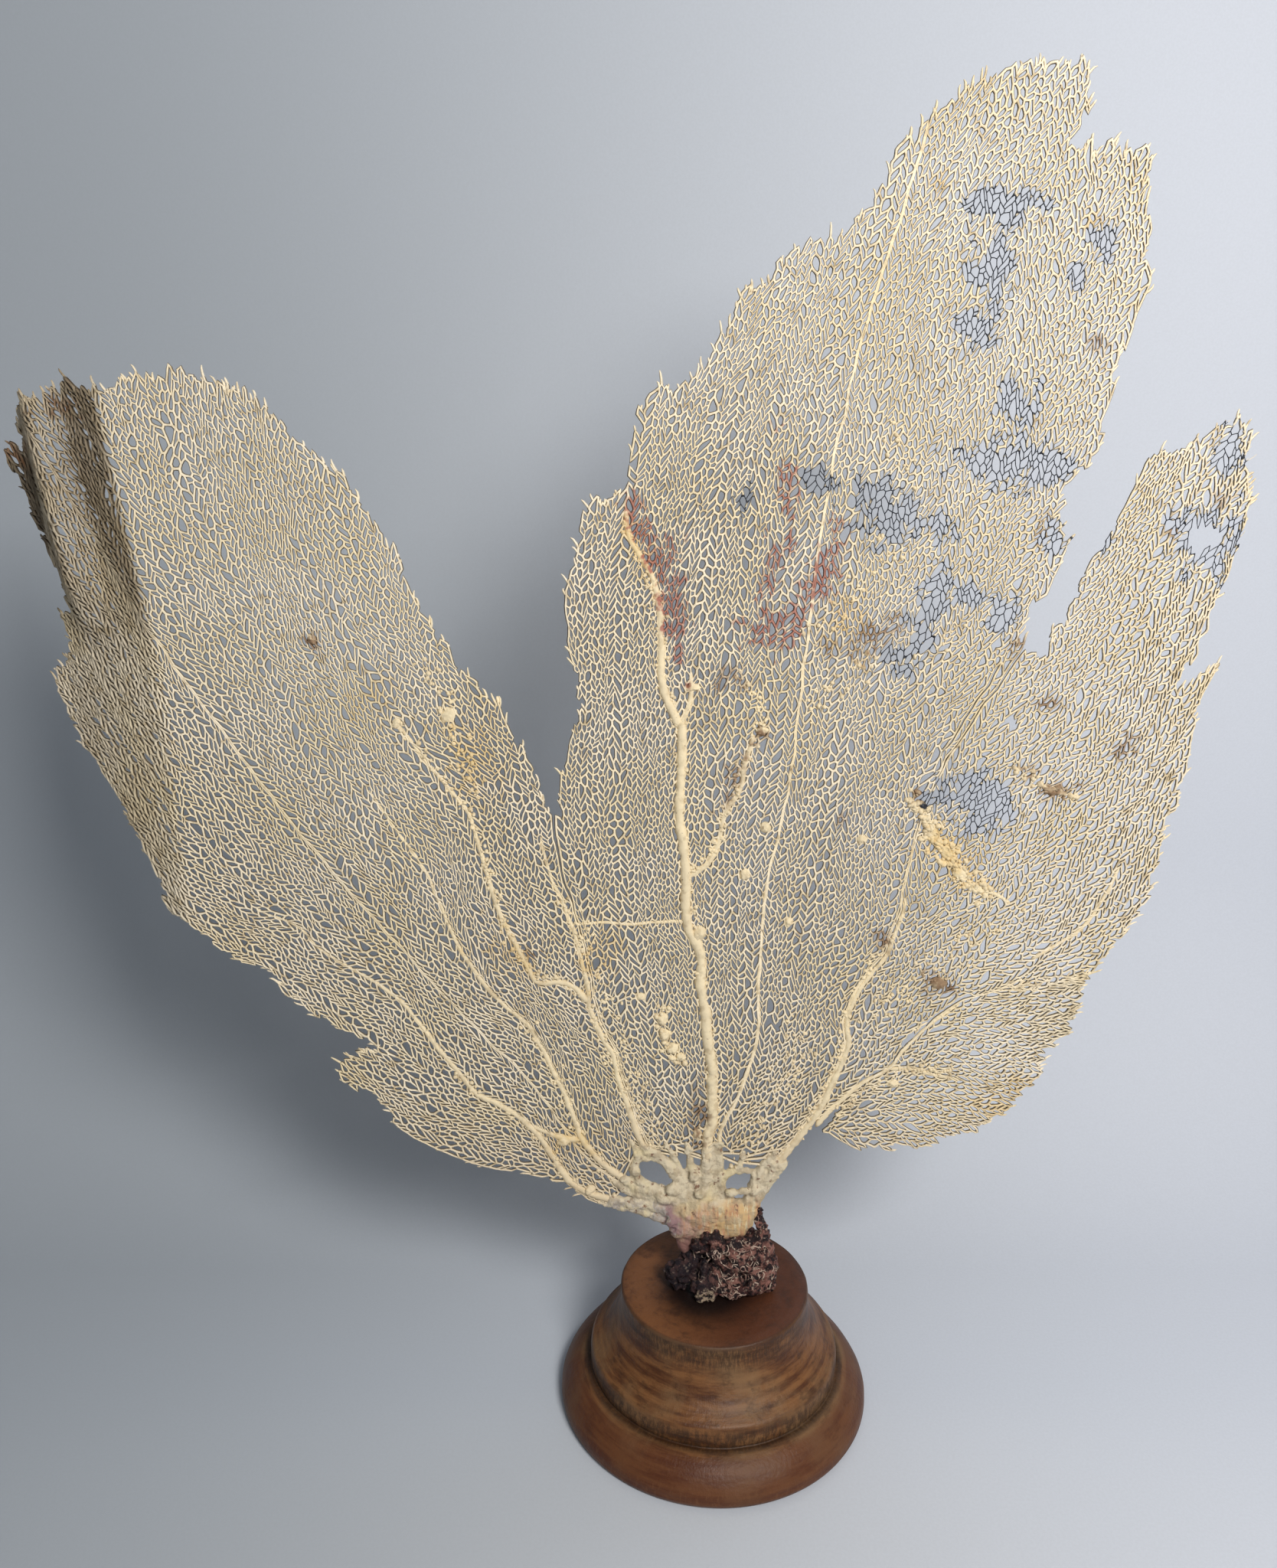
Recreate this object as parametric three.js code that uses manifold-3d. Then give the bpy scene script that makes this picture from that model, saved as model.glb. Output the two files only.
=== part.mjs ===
// Sea fan on a turned wooden base.
//
// Millimetres, +Z up. The origin is the middle of the base's underside. X runs along the fan's width,
// to the right as seen from the front, and +Y points through the fan to its back.
//
// The fan is drawn on a flat sheet in (x, z). Its net, ribs and lumps are joined there, and the
// finished solid is then bent to the relief of the real fan by bendSheet().

import * as THREE from 'three';
import { mergeVertices } from 'three/addons/utils/BufferGeometryUtils.js';
import Module from 'manifold-3d';

const wasm = await Module();
wasm.setup();

// Driving dimensions
const FOOT_RADIUS = 65;
const TOP_RADIUS = 39.5;
const BASE_HEIGHT = 53.3;
const TOUCH_GAP = 0.3;
const SEAM_GAP = 0.4;
const TRUNK_BOTTOM = 76;
const TRUNK_TOP = 112;
const TRUNK_ROUNDING = 0.55;
const TRUNK_SIDE_CLEARANCE = 1.3;
const TRUNK_FOOT_HALF_THICKNESS = 6.5;
const ROOT_HALF_THICKNESS = 2.3;
const EDGE_HALF_THICKNESS = 1;
const THINNING_LENGTH = 90;
const CELL_WIDTH = 25;
const CELL_LENGTH = 38;
const BAR_WIDTH = 3;
const SMALLEST_CELL_AREA = 60;
const SMALLEST_STEP = 0.15;
const RIB_STEP = 14;
const TALLEST_LUMP = 10;
const FLOW_REACH = 430;
const FLOW_STEP = 6;

const COLOURS = {
  wood: 0x6b4028,
  crust: 0x4a3230,
  trunk: 0xd2a887,
  net: 0xd9c995,
};

// Turned profile of the base, as radius and height, from the middle of the top to the middle below.
const BASE_PROFILE = [
  [0, BASE_HEIGHT],
  [TOP_RADIUS - 0.7, BASE_HEIGHT],
  [TOP_RADIUS, BASE_HEIGHT - 1.1],
  [TOP_RADIUS - 0.2, 47],
  [TOP_RADIUS + 0.8, 41],
  [43.5, 34],
  [48.5, 28.5],
  [51.2, 26.2],
  [52.2, 24],
  [52.2, 17.2],
  [53.4, 16.6],
  [56, 16],
  [60.5, 12.5],
  [63.8, 8.5],
  [FOOT_RADIUS, 5.5],
  [FOOT_RADIUS - 0.2, 2],
  [FOOT_RADIUS - 1.6, 0],
  [0, 0],
];
const BASE_SEGMENTS = 40;

// Lumps of the holdfast: centre, radii, and how far each is roughened.
const HOLDFAST_LUMPS = [
  { at: [11, -1, 63], size: [14.5, 9.5, 13], rough: 0.09 },
  { at: [0, 1, 71], size: [17, 8.5, 8.5], rough: 0.08 },
  { at: [-15.5, -3, 59.5], size: [6.8, 5.5, 7.2], rough: 0.12 },
  { at: [-6, -6, 61], size: [5.5, 5, 6.5], rough: 0.12 },
  { at: [-4.5, -12, 57.5], size: [5.2, 4.2, 5], rough: 0.15 },
  { at: [19.5, 0, 78], size: [3, 5, 14], rough: 0.08 },
];

// Boundaries on the sheet, each read from the trunk outwards.
const LEFT_MARGIN = [
  [-43, 89.2], [-50.3, 91], [-59.4, 98.7], [-65.6, 103.8], [-76.7, 106.5], [-88, 109], [-99, 109.2],
  [-108.6, 115], [-119, 118.5], [-127, 125], [-131.8, 129], [-132, 135], [-139, 144], [-146, 146.4],
  [-151.2, 151.8], [-147, 158.5], [-139, 161.7], [-133.5, 163.5], [-135, 167], [-143.3, 169.3],
  [-153, 174], [-161.4, 179.2], [-165, 184.5], [-174, 187.6], [-168, 191], [-174, 195], [-186.4, 200],
  [-197.5, 210], [-204.4, 218], [-212, 219.7], [-215, 230], [-220, 238.8], [-228, 251], [-231.5, 260],
  [-238.5, 267], [-247.5, 278.8], [-252.5, 288.8], [-257, 298.8], [-258, 306.3], [-256, 311.5],
  [-250, 313], [-248, 320], [-249.6, 331], [-243, 333.5], [-245.6, 343.8], [-250, 353.8],
  [-256.3, 370], [-260, 382.5], [-267, 388.3], [-259, 391], [-252, 391.5], [-255, 400.6],
  [-249.4, 405.8], [-240, 407.2], [-235, 410.8], [-229, 413], [-220, 411], [-207, 413], [-196, 415.8],
  [-185, 415.8], [-171, 411.7], [-160, 405.5], [-148.9, 394.5], [-137.5, 384.5], [-129, 373],
  [-120.7, 360.5], [-114, 347], [-107, 331.5], [-99, 320], [-90.6, 308], [-81, 301], [-78, 289.5],
  [-72.5, 281], [-68.3, 267], [-64.5, 258.5],
];
const CENTRE_MARGIN = [
  [-60.2, 260], [-62.2, 272.8], [-58.6, 278.3], [-56, 290.8], [-52.2, 298], [-53, 311.7], [-57.8, 324],
  [-59.6, 339.4], [-53.5, 356], [-52.4, 368.6], [-43.3, 376], [-34.6, 378.5], [-32.6, 389.4],
  [-31, 402], [-25.3, 413.5], [-18.3, 410.5], [-8.6, 419], [-3, 431], [5, 442.5], [13.6, 448],
  [20.6, 457], [34.4, 457.7], [41.4, 463.5], [48.3, 476], [53.9, 487], [62.2, 495.5], [73.3, 502.5],
  [87.2, 508.5], [106.7, 509.5], [111.5, 499.2], [107, 487], [110, 482.8], [122, 484.2],
  [131.7, 484.5], [133, 464.4], [136.9, 446.4], [133, 431], [127.5, 422.8], [129, 408.9],
  [124.7, 393.6], [115.3, 381], [110.8, 369], [117.8, 362], [116.6, 348], [107, 338], [102.7, 328.3],
];
const RIGHT_MARGIN = [
  [108, 321], [112.2, 319.7], [117, 325.6], [122, 339.4], [127.5, 353.3], [134.4, 364.4],
  [138.6, 378.3], [144.2, 389.4], [156.7, 391.3], [165, 401], [177.5, 398], [180.3, 375.6],
  [179, 356], [174.7, 339.4], [169.2, 322.8], [162, 308.5], [166, 307], [178.3, 318.6],
  [173.5, 300.6], [170.8, 281], [166.6, 261.7], [163.8, 242], [162, 225.6], [151, 207.5], [142, 195],
];
const LOWER_RIGHT_MARGIN = [
  [140.3, 176], [139, 167], [132, 158], [129, 148], [122, 140.5], [111, 131], [103, 126.5],
  [92, 124.5], [84, 118.5], [70, 118.4], [57, 119], [47, 118.6], [44, 122],
];
const ARM_MARGIN = [[21.5, 101], [23.6, 103.8], [29, 112], [34, 118], [38.5, 123]];

// Seams between neighbouring blades, each read from the trunk outwards.
const LEFT_SEAM = [
  [-22, 114], [-27, 119], [-30, 127], [-33, 138], [-36.5, 149], [-38.8, 160], [-43.5, 169],
  [-46.8, 178], [-48.5, 190], [-51, 202], [-53, 213], [-55, 222], [-57, 232], [-59.5, 247], [-62.5, 259],
];
const RIGHT_SEAM = [
  [17.5, 108.5], [23, 114.8], [27.5, 120.6], [32, 127], [36, 133.5], [40.4, 141.5], [43.5, 150],
  [47, 159.5], [48.3, 166.5], [47, 174], [49, 182], [52.3, 190], [56.3, 197], [60.8, 203],
  [63.3, 211], [65.8, 220], [67, 235], [69, 250], [71.5, 268], [79, 284], [89, 300], [97, 312],
  [105, 321],
];
const LOWER_SEAM = [
  [42, 124], [41.4, 128.5], [41.6, 133], [46.5, 139.4], [52, 145.2], [59.5, 151.6], [67, 157],
  [70.5, 164], [78, 173.2], [84.5, 179.5], [91, 184.5], [98.5, 188.3], [108, 189.6], [118, 190.5],
  [130, 191.5], [141, 193],
];

// Outline of the trunk where the blades leave it, from its left side to its right.
const TRUNK_CROWN = [
  [-43, 89.2], [-41, 97], [-37.5, 105], [-33, 112.3], [-26, 115.5], [-22, 114], [-19, 113],
  [-12, 110.5], [-5, 110], [2, 108.5], [10, 107.8], [17.5, 108.5], [21.5, 101],
];
const CROWN_LEFT_SEAM = 5;
const CROWN_RIGHT_SEAM = 11;
const TRUNK_SIDES = {
  right: [[19.6, 97], [17.4, 90], [16.6, 84], [15.5, TRUNK_BOTTOM]],
  left: [[-19, TRUNK_BOTTOM], [-23, 82], [-28, 85.6], [-36, 87.6]],
};
const TRUNK_HOLES = [
  [[-31, 109.4], [-27.5, 110.6], [-20, 107.1], [-17.4, 103.5], [-18, 99.9], [-21.2, 98.8], [-25.6, 99.5],
    [-29.4, 104.9]],
  [[3.8, 101.3], [7.5, 103.8], [12.5, 104.2], [13.1, 101.9], [10, 99.8], [5, 99.4]],
  [[-11, 104.5], [-9.5, 107.3], [-8, 104.7]],
];

// Tears and holes in the net.
const TEARS = [
  [[16.5, 171], [17, 174.5], [21, 176], [25, 174], [26, 171], [21, 169.5]],
  [[160.5, 365], [165, 368.5], [173, 365.5], [175, 361.5], [168, 358], [162.5, 354], [161.5, 360]],
  [[102, 300], [104, 304], [107, 300], [108, 295], [104, 292.5], [101.5, 296]],
];

// Growth lines of the net, each from the trunk outwards, in order round the fan from its lower left.
const ARM = [[24.5, 104], [29, 110.2], [33.3, 116.2], [37.4, 122.2]];
const GUIDES = {
  leftLow: [[-40, 89.5], [-52, 93], [-61, 100.5], [-78, 105.5], [-98, 110], [-116, 118], [-130, 128],
    [-146, 142], [-165, 158]],
  leftSkirt: [[-38.5, 90.5], [-52, 94.5], [-63, 103.5], [-72, 112], [-84, 119], [-102, 127],
    [-122, 137], [-142, 152], [-165, 172]],
  leftLowRib: [[-37, 92], [-50, 95.5], [-60, 102], [-66.5, 113], [-73, 124], [-81, 132.5], [-89, 138],
    [-97.5, 143], [-103, 151], [-111, 162.5], [-119, 175], [-124, 182.5], [-131, 189], [-139, 194.5],
    [-150, 201.5], [-157.5, 207.5], [-162, 213.5], [-168, 217], [-178, 221], [-187.5, 231],
    [-200, 246], [-214, 264], [-230, 285], [-252, 312]],
  leftWeb: [[-36, 97], [-47, 107], [-57, 118], [-64, 130], [-74, 146], [-88, 163], [-104, 182],
    [-122, 205], [-142, 230], [-163, 258], [-184, 290], [-205, 325], [-226, 360], [-246, 395]],
  leftMiddleRib: [[-33, 99], [-39, 104], [-45, 109], [-50.5, 115], [-55, 122], [-58, 132],
    [-61.5, 142], [-65.5, 152], [-70, 162.5], [-76, 174], [-82.5, 180], [-89, 187], [-95.6, 197.5],
    [-100, 205], [-104.4, 216.3], [-108.8, 228.8], [-113, 240], [-120, 251], [-132, 270],
    [-147, 296], [-163, 326], [-178, 360], [-190, 395], [-196, 425]],
  leftInnerRib: [[-32, 113.5], [-36, 124], [-41, 138], [-47, 154], [-55, 168], [-63, 180],
    [-70, 189.5], [-74, 196], [-78, 206], [-83.5, 219], [-88, 232.5], [-91, 246], [-95, 261],
    [-100, 269], [-108.8, 280], [-115, 286], [-120, 296], [-124, 304], [-133, 322], [-143, 346],
    [-152, 372], [-160, 400], [-166, 425]],
  leftEdgeRib: [[-24, 114.5], [-29, 117.5], [-33, 126.3], [-36.3, 137.5], [-40, 149], [-42, 160],
    [-47, 169], [-50, 177.5], [-51.5, 183], [-52, 190], [-54.4, 202.5], [-57, 214], [-61.3, 226],
    [-66.5, 240], [-69, 256], [-72, 272], [-76, 288], [-80, 302], [-85, 322], [-90, 346],
    [-95, 372], [-99, 400], [-102, 425]],
  centreEdge: [[-21, 114.5], [-26, 120], [-29.5, 128], [-33, 139], [-36.5, 150], [-38.5, 161],
    [-43, 170], [-46, 180], [-47.5, 192], [-50, 204], [-52.5, 216], [-54.5, 228], [-57, 245],
    [-59, 262], [-58, 282], [-55, 300], [-56, 318], [-58, 340], [-56, 362], [-52, 385], [-46, 410]],
  centreWeb: [[-15, 112], [-20, 126], [-25, 142], [-29, 160], [-32, 180], [-35, 202], [-38, 226],
    [-40, 252], [-41, 280], [-41, 310], [-40, 340], [-37, 370], [-33, 400], [-28, 430]],
  stem: [[-4, 110], [-3.8, 122.5], [-2, 132.5], [-2.5, 145], [-2.5, 155], [-4.4, 166.3],
    [-5.6, 177.5], [-7.5, 188], [-7.5, 199], [-9, 206.5], [-12.5, 213], [-13.8, 222.5],
    [-13.8, 235], [-15, 247.5], [-16.6, 260], [-16, 275], [-15.7, 286], [-16, 297], [-16.5, 310],
    [-16, 325], [-15, 345], [-12, 370], [-6, 400], [3, 430]],
  stainedLine: [[-1.5, 112], [-1, 124], [3, 136], [5.5, 150], [6, 165], [5, 180], [4, 202],
    [3, 226], [3, 250], [5, 276], [7, 304], [9, 334], [13, 366], [19, 400], [27, 434], [36, 466]],
  centreRib: [[1, 112], [1.5, 126], [7, 138], [11.3, 151.3], [14.4, 162.5], [15.6, 175], [15, 189],
    [15.6, 201], [16.3, 217.5], [17.5, 232.5], [20.6, 247.5], [23, 262.5], [25.7, 279], [27, 296],
    [28, 315], [30, 340], [33, 368], [38, 400], [45, 434], [54, 466], [62, 495]],
  upperWeb: [[9, 108], [13, 122], [19, 138], [25, 154], [29, 172], [32, 192], [35, 214], [38, 238],
    [42, 264], [46, 292], [51, 322], [57, 352], [64, 384], [72, 416], [80, 448], [88, 480], [96, 512]],
  centreRightEdge: [[19, 109.5], [23.5, 115], [28, 121], [32.5, 127.5], [36.7, 134], [41, 142],
    [44, 150.5], [47.3, 160], [48.5, 167], [47.3, 174.5], [49.3, 182.5], [52.8, 190.5],
    [56.8, 197.5], [61, 204], [63.5, 212], [66, 222], [67.5, 236], [70, 252], [74, 270], [82, 288],
    [92, 306], [100, 322], [106, 340], [112, 362], [118, 384], [124, 410], [130, 440], [136, 470]],
  rightRib: [[21.5, 105.5], [26, 112], [30, 118], [34, 124], [38.8, 131], [43.1, 140], [46.3, 149],
    [50, 159], [51.3, 166.3], [50, 174], [52, 181.3], [55, 189], [58.8, 195], [63.8, 201.5],
    [66.3, 210], [69, 219], [71, 233], [74, 249], [78, 266], [85, 283], [95, 300], [106, 315],
    [114, 330], [122, 348], [131, 368], [141, 390], [150, 410]],
  rightWeb: [[22.5, 105], [27, 111.5], [31.2, 117.5], [35.2, 123.5], [40, 131], [45.5, 139.5],
    [51, 149], [56, 160], [60, 172], [66, 186], [74, 200], [82, 216], [91, 235], [101, 255],
    [112, 276], [123, 298], [133, 322], [142, 346], [151, 372], [160, 398], [168, 420]],
  rightOuterWeb: [[23.2, 104.6], [27.7, 111], [32, 117], [36, 123], [41, 130.5], [48, 138.5],
    [56, 148], [63, 158.5], [71, 170], [80, 182], [91, 196], [103, 213], [115, 232], [127, 252],
    [139, 275], [150, 298], [160, 322], [169, 348], [178, 376], [186, 404]],
  lowRib: [[24, 104.2], [28.4, 110.5], [32.7, 116.5], [36.8, 122.5], [41.5, 130], [47, 136.8],
    [52.5, 142.5], [60, 148.8], [68.8, 154.4], [72.5, 161], [80, 170], [86.3, 176.3], [92.5, 181.3],
    [98.8, 185], [108, 187], [120, 193], [133, 203], [146, 217], [157, 234], [168, 255],
    [180, 281], [192, 310], [204, 342]],
  lowWeb1: [...ARM, [42, 129.6], [47.8, 136], [53.5, 141.6], [61, 147.6], [69.5, 153], [76, 160],
    [84, 168], [93, 174.5], [103, 179], [115, 183], [128, 187], [145, 192]],
  lowWeb2: [...ARM, [42.4, 129.2], [48.4, 135.2], [54.5, 140.6], [62, 146.2], [70.5, 151.6],
    [79, 158], [89, 164], [101, 167.5], [114, 169.5], [128, 171.5], [146, 174]],
  lowWeb3: [...ARM, [42.8, 128.6], [49, 134.4], [55.5, 139.4], [63, 144.8], [71.5, 150],
    [80, 153.5], [90, 155.5], [102, 156], [115, 155.5], [128, 155], [144, 154]],
  lowWeb4: [...ARM, [43.2, 128], [49.8, 133.4], [56.5, 138], [64, 143], [72.5, 147], [83, 149],
    [95, 148.5], [107, 146.5], [119, 144.5], [133, 142]],
  lowWeb5: [...ARM, [43.6, 127.4], [50.6, 132], [58, 136], [67, 139.2], [78, 140.2], [90, 140],
    [102, 138.6], [114, 136.5], [129, 133]],
  lowWeb6: [...ARM, [44, 126.6], [51.5, 129.6], [60, 131.4], [71, 132], [83, 131], [95, 128.5],
    [106, 125], [118, 120]],
  lowEdge: [...ARM, [44, 125.4], [51, 123.4], [59, 121.6], [68, 119.6], [80, 116]],
};

// Raised ribs: the line each follows, the stretch of it in millimetres, and its radius at both ends.
const RIBS = {
  left: [
    { along: 'leftLowRib', from: 3, to: 205, radii: [2.4, 1.1] },
    { along: 'leftMiddleRib', from: 3, to: 205, radii: [2.5, 1.1] },
    { along: 'leftEdgeRib', from: 3, to: 150, radii: [2.3, 1.2] },
    { path: [[-51.5, 182.5], [-56.5, 189], [-63, 192], [-71, 192], [-75, 199], [-80, 210], [-84, 219],
      [-88, 232.5], [-91, 246], [-95, 261], [-101, 270], [-109, 280], [-120, 296]],
    radii: [1.6, 1.1] },
    { path: [[-55, 121.5], [-63, 122.5], [-70, 125], [-74.5, 128]], radii: [1.5, 1.3] },
  ],
  centre: [
    { along: 'stem', from: 3, to: 190, radii: [2.8, 2.3] },
    { path: [[-16.5, 293], [-20, 300], [-23.5, 311], [-23.7, 322], [-24.3, 335], [-26.5, 347],
      [-32, 356.5], [-35.7, 364], [-36.4, 373]],
    radii: [2, 1.2] },
    { path: [[-16.5, 293], [-13, 303], [-12.9, 314]], radii: [1.6, 1.1] },
    { along: 'centreRib', from: 10, to: 190, radii: [1.8, 1.1] },
    { path: [[-13.5, 234], [-6, 239], [-2, 247], [1, 261], [6, 268], [8, 280], [11, 290]],
      radii: [1.3, 1.3] },
  ],
  right: [
    { along: 'rightRib', from: 3, to: 125, radii: [2.8, 1.2] },
  ],
  lowerRight: [
    { along: 'lowRib', from: 30, to: 118, radii: [2.6, 1.1] },
    { path: [[68, 153.5], [76, 153.6], [86, 151], [97, 148.5]], radii: [1.4, 1] },
  ],
};

// Encrusting lumps that sit on the net: middle, half length, half width, height and turn in degrees.
const LUMPS = {
  left: [
    { at: [-101, 299], size: [6, 4, 2.4], turn: 40 },
    { at: [-149, 326], size: [4, 2.6, 2.4], turn: 120 },
  ],
  centre: [
    { at: [-8.5, 211], size: [4.4, 3.2, 3.4], turn: 60 },
    { at: [13.6, 291.4], size: [3.4, 3, 2.6], turn: 0 },
    { at: [-20, 166], size: [8, 2.6, 2.6], turn: 115 },
  ],
  right: [
    { at: [84, 246], size: [15, 5.4, 3.6], turn: -52 },
    { at: [94, 232], size: [6.5, 4.4, 3], turn: -35 },
    { at: [111, 309], size: [6.4, 5.6, 2.8], turn: 10 },
  ],
  lowerRight: [],
};

// Left fold of the fan: distance left of the crease, and how far back the sheet lies there.
// Low down it is one slope, higher up a step, a ledge and a second step.
const LOW_FOLD = [[0, 0], [16, 10], [46, 30], [62, 37]];
const HIGH_FOLD = [[0, 0], [16, 10.5], [33, 14.5], [37, 22], [44, 29], [62, 37]];
const FOLD_CHANGE = { from: 318, to: 350 };
const CREASE = { low: -205, high: -218, from: 290, to: 440 };

// Small helpers

// Smooth share, from 0 to 1, of the way from one value to another.
function smoothStep(from, to, value) {
  const share = THREE.MathUtils.clamp((value - from) / (to - from), 0, 1);
  return share * share * (3 - 2 * share);
}

function reversed(points) {
  return [...points].reverse();
}

function vectors(points) {
  return points.map(([x, y]) => new THREE.Vector2(x, y));
}

// A polyline moved sideways by a distance, to the left of its direction when the distance is positive.
function moved(points, distance) {
  return points.map((point, i) => {
    const before = points[Math.max(i - 1, 0)];
    const after = points[Math.min(i + 1, points.length - 1)];
    const along = new THREE.Vector2(after[0] - before[0], after[1] - before[1]).normalize();
    return [point[0] - along.y * distance, point[1] + along.x * distance];
  });
}

// A flat shape with holes. The outline is turned anticlockwise and the holes clockwise.
function shapeOf(outline, holes) {
  const turned = (points, clockwise) => {
    const ring = vectors(points);
    return THREE.ShapeUtils.isClockWise(ring) === clockwise ? ring : ring.reverse();
  };
  const shape = new THREE.Shape(turned(outline, false));
  shape.holes = holes.map((hole) => new THREE.Path(turned(hole, true)));
  return shape;
}

function insidePolygon([x, y], polygon) {
  let inside = false;
  polygon.forEach(([x1, y1], i) => {
    const [x0, y0] = polygon[(i + polygon.length - 1) % polygon.length];
    if ((y1 > y) !== (y0 > y) && x < ((x0 - x1) * (y - y1)) / (y0 - y1) + x1) inside = !inside;
  });
  return inside;
}

function distanceToSegment([x, y], [x0, y0], [x1, y1]) {
  const length2 = (x1 - x0) ** 2 + (y1 - y0) ** 2;
  const t = THREE.MathUtils.clamp(((x - x0) * (x1 - x0) + (y - y0) * (y1 - y0)) / length2, 0, 1);
  return Math.hypot(x - x0 - t * (x1 - x0), y - y0 - t * (y1 - y0));
}

function distanceToLine(point, line, closed) {
  let nearest = Infinity;
  const count = closed ? line.length : line.length - 1;
  for (let i = 0; i < count; i += 1) {
    nearest = Math.min(nearest, distanceToSegment(point, line[i], line[(i + 1) % line.length]));
  }
  return nearest;
}

// A closed geometry as a solid, and a solid as a geometry.
function solidOf(geometry) {
  const bare = geometry.clone();
  bare.deleteAttribute('normal');
  bare.deleteAttribute('uv');
  const merged = mergeVertices(bare, 1e-4);
  return new wasm.Manifold(new wasm.Mesh({
    numProp: 3,
    vertProperties: new Float32Array(merged.attributes.position.array),
    triVerts: new Uint32Array(merged.index.array),
  }));
}

function geometryOf(solid) {
  const mesh = solid.getMesh();
  const geometry = new THREE.BufferGeometry();
  geometry.setAttribute('position', new THREE.BufferAttribute(new Float32Array(mesh.vertProperties), 3));
  geometry.setIndex(new THREE.BufferAttribute(new Uint32Array(mesh.triVerts), 1));
  return geometry;
}

// Flow of the net

const guides = Object.fromEntries(Object.entries(GUIDES).map(([name, points]) => {
  const curve = new THREE.SplineCurve(vectors(points));
  curve.arcLengthDivisions = 400;
  return [name, curve];
}));
const guideList = Object.values(guides);

// Point on a growth line at a distance from the trunk. Past its end the line runs on straight.
function alongGuide(curve, distance) {
  const length = curve.getLength();
  const point = curve.getPointAt(Math.min(distance / length, 1));
  if (distance > length) point.addScaledVector(curve.getTangentAt(1), distance - length);
  return point;
}

// Point of the sheet at a place t between the growth lines and a distance from the trunk.
function flow(t, distance) {
  const i = Math.min(Math.floor(t), guideList.length - 2);
  return alongGuide(guideList[i], distance).lerp(alongGuide(guideList[i + 1], distance), t - i);
}

// Cells between two growth lines: a row of cells runs outwards until it is too wide, then parts in two.
function layCells(t0, t1, start, cells) {
  const widthAt = (distance) => flow(t0, distance).distanceTo(flow(t1, distance));
  let end = start;
  while (end < FLOW_REACH && widthAt(end) < CELL_WIDTH) end += FLOW_STEP;
  const count = Math.max(1, Math.round((end - start) / CELL_LENGTH));
  const length = (end - start) / count;
  if (length > CELL_LENGTH / 3) {
    for (let i = 0; i < count; i += 1) {
      const [a, b] = [start + i * length, start + (i + 1) * length];
      const corners = [flow(t0, a), flow(t1, a), flow(t1, b), flow(t0, b)];
      cells.push(corners.map((corner) => [corner.x, corner.y]));
    }
  }
  if (end < FLOW_REACH) {
    const middle = (t0 + t1) / 2;
    layCells(t0, middle, end, cells);
    layCells(middle, t1, end, cells);
  }
}

const allCells = [];
for (let i = 0; i < guideList.length - 1; i += 1) layCells(i, i + 1, FLOW_STEP, allCells);

// A cell with its corners drawn in, so that a bar is left between it and its neighbours.
function drawIn(corners, margin) {
  const middle = [0, 1].map((k) => corners.reduce((sum, corner) => sum + corner[k], 0) / corners.length);
  return corners.map((corner, i) => {
    const before = corners[(i + corners.length - 1) % corners.length];
    const after = corners[(i + 1) % corners.length];
    const toBefore = new THREE.Vector2(before[0] - corner[0], before[1] - corner[1]).normalize();
    const toAfter = new THREE.Vector2(after[0] - corner[0], after[1] - corner[1]).normalize();
    const sine = Math.max(Math.abs(toBefore.cross(toAfter)), 0.35);
    const shift = toBefore.add(toAfter).multiplyScalar(margin / sine);
    const inner = [corner[0] + shift.x, corner[1] + shift.y];
    const stays = Math.hypot(middle[0] - inner[0], middle[1] - inner[1])
      < Math.hypot(middle[0] - corner[0], middle[1] - corner[1]);
    return stays ? inner : middle;
  });
}

// Cells that become openings of one blade, kept clear of its edge, ribs, lumps and tears.
function openCells(outline, ribs, lumps, tears) {
  const isFree = (point) => insidePolygon(point, outline)
    && distanceToLine(point, outline, true) > BAR_WIDTH * 0.75
    && ribs.every((rib) => distanceToLine(point, rib.line, false) > rib.radius + 0.5)
    && lumps.every((lump) => Math.hypot(point[0] - lump.at[0], point[1] - lump.at[1]) > lump.size[0] + 0.5)
    && tears.every((tear) => !insidePolygon(point, tear) && distanceToLine(point, tear, true) > BAR_WIDTH);
  const pull = (corner, middle) => {
    for (let k = 0; k < 9; k += 1) {
      const point = [0, 1].map((axis) => THREE.MathUtils.lerp(corner[axis], middle[axis], k / 10));
      if (isFree(point)) return point;
    }
    return null;
  };
  const holes = [];
  allCells.forEach((cell) => {
    const corners = drawIn(cell, BAR_WIDTH / 2);
    const middle = [0, 1].map((k) => corners.reduce((sum, corner) => sum + corner[k], 0) / 4);
    if (!isFree(middle)) return;
    const pulled = corners.map((corner) => pull(corner, middle));
    if (pulled.some((corner) => corner === null)) return;
    const edgesFree = pulled.every((corner, i) => {
      const next = pulled[(i + 1) % 4];
      return isFree([(corner[0] + next[0]) / 2, (corner[1] + next[1]) / 2]);
    });
    const area = Math.abs(THREE.ShapeUtils.area(vectors(pulled)));
    if (edgesFree && area > SMALLEST_CELL_AREA) holes.push(pulled);
  });
  return holes;
}

// Relief of the sheet

const foldCurve = (fold, distance) => {
  const next = fold.findIndex(([reach]) => reach > distance);
  if (next < 0) return fold[fold.length - 1][1];
  const [[s0, y0], [s1, y1]] = [fold[next - 1], fold[next]];
  return THREE.MathUtils.lerp(y0, y1, (distance - s0) / (s1 - s0));
};

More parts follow.
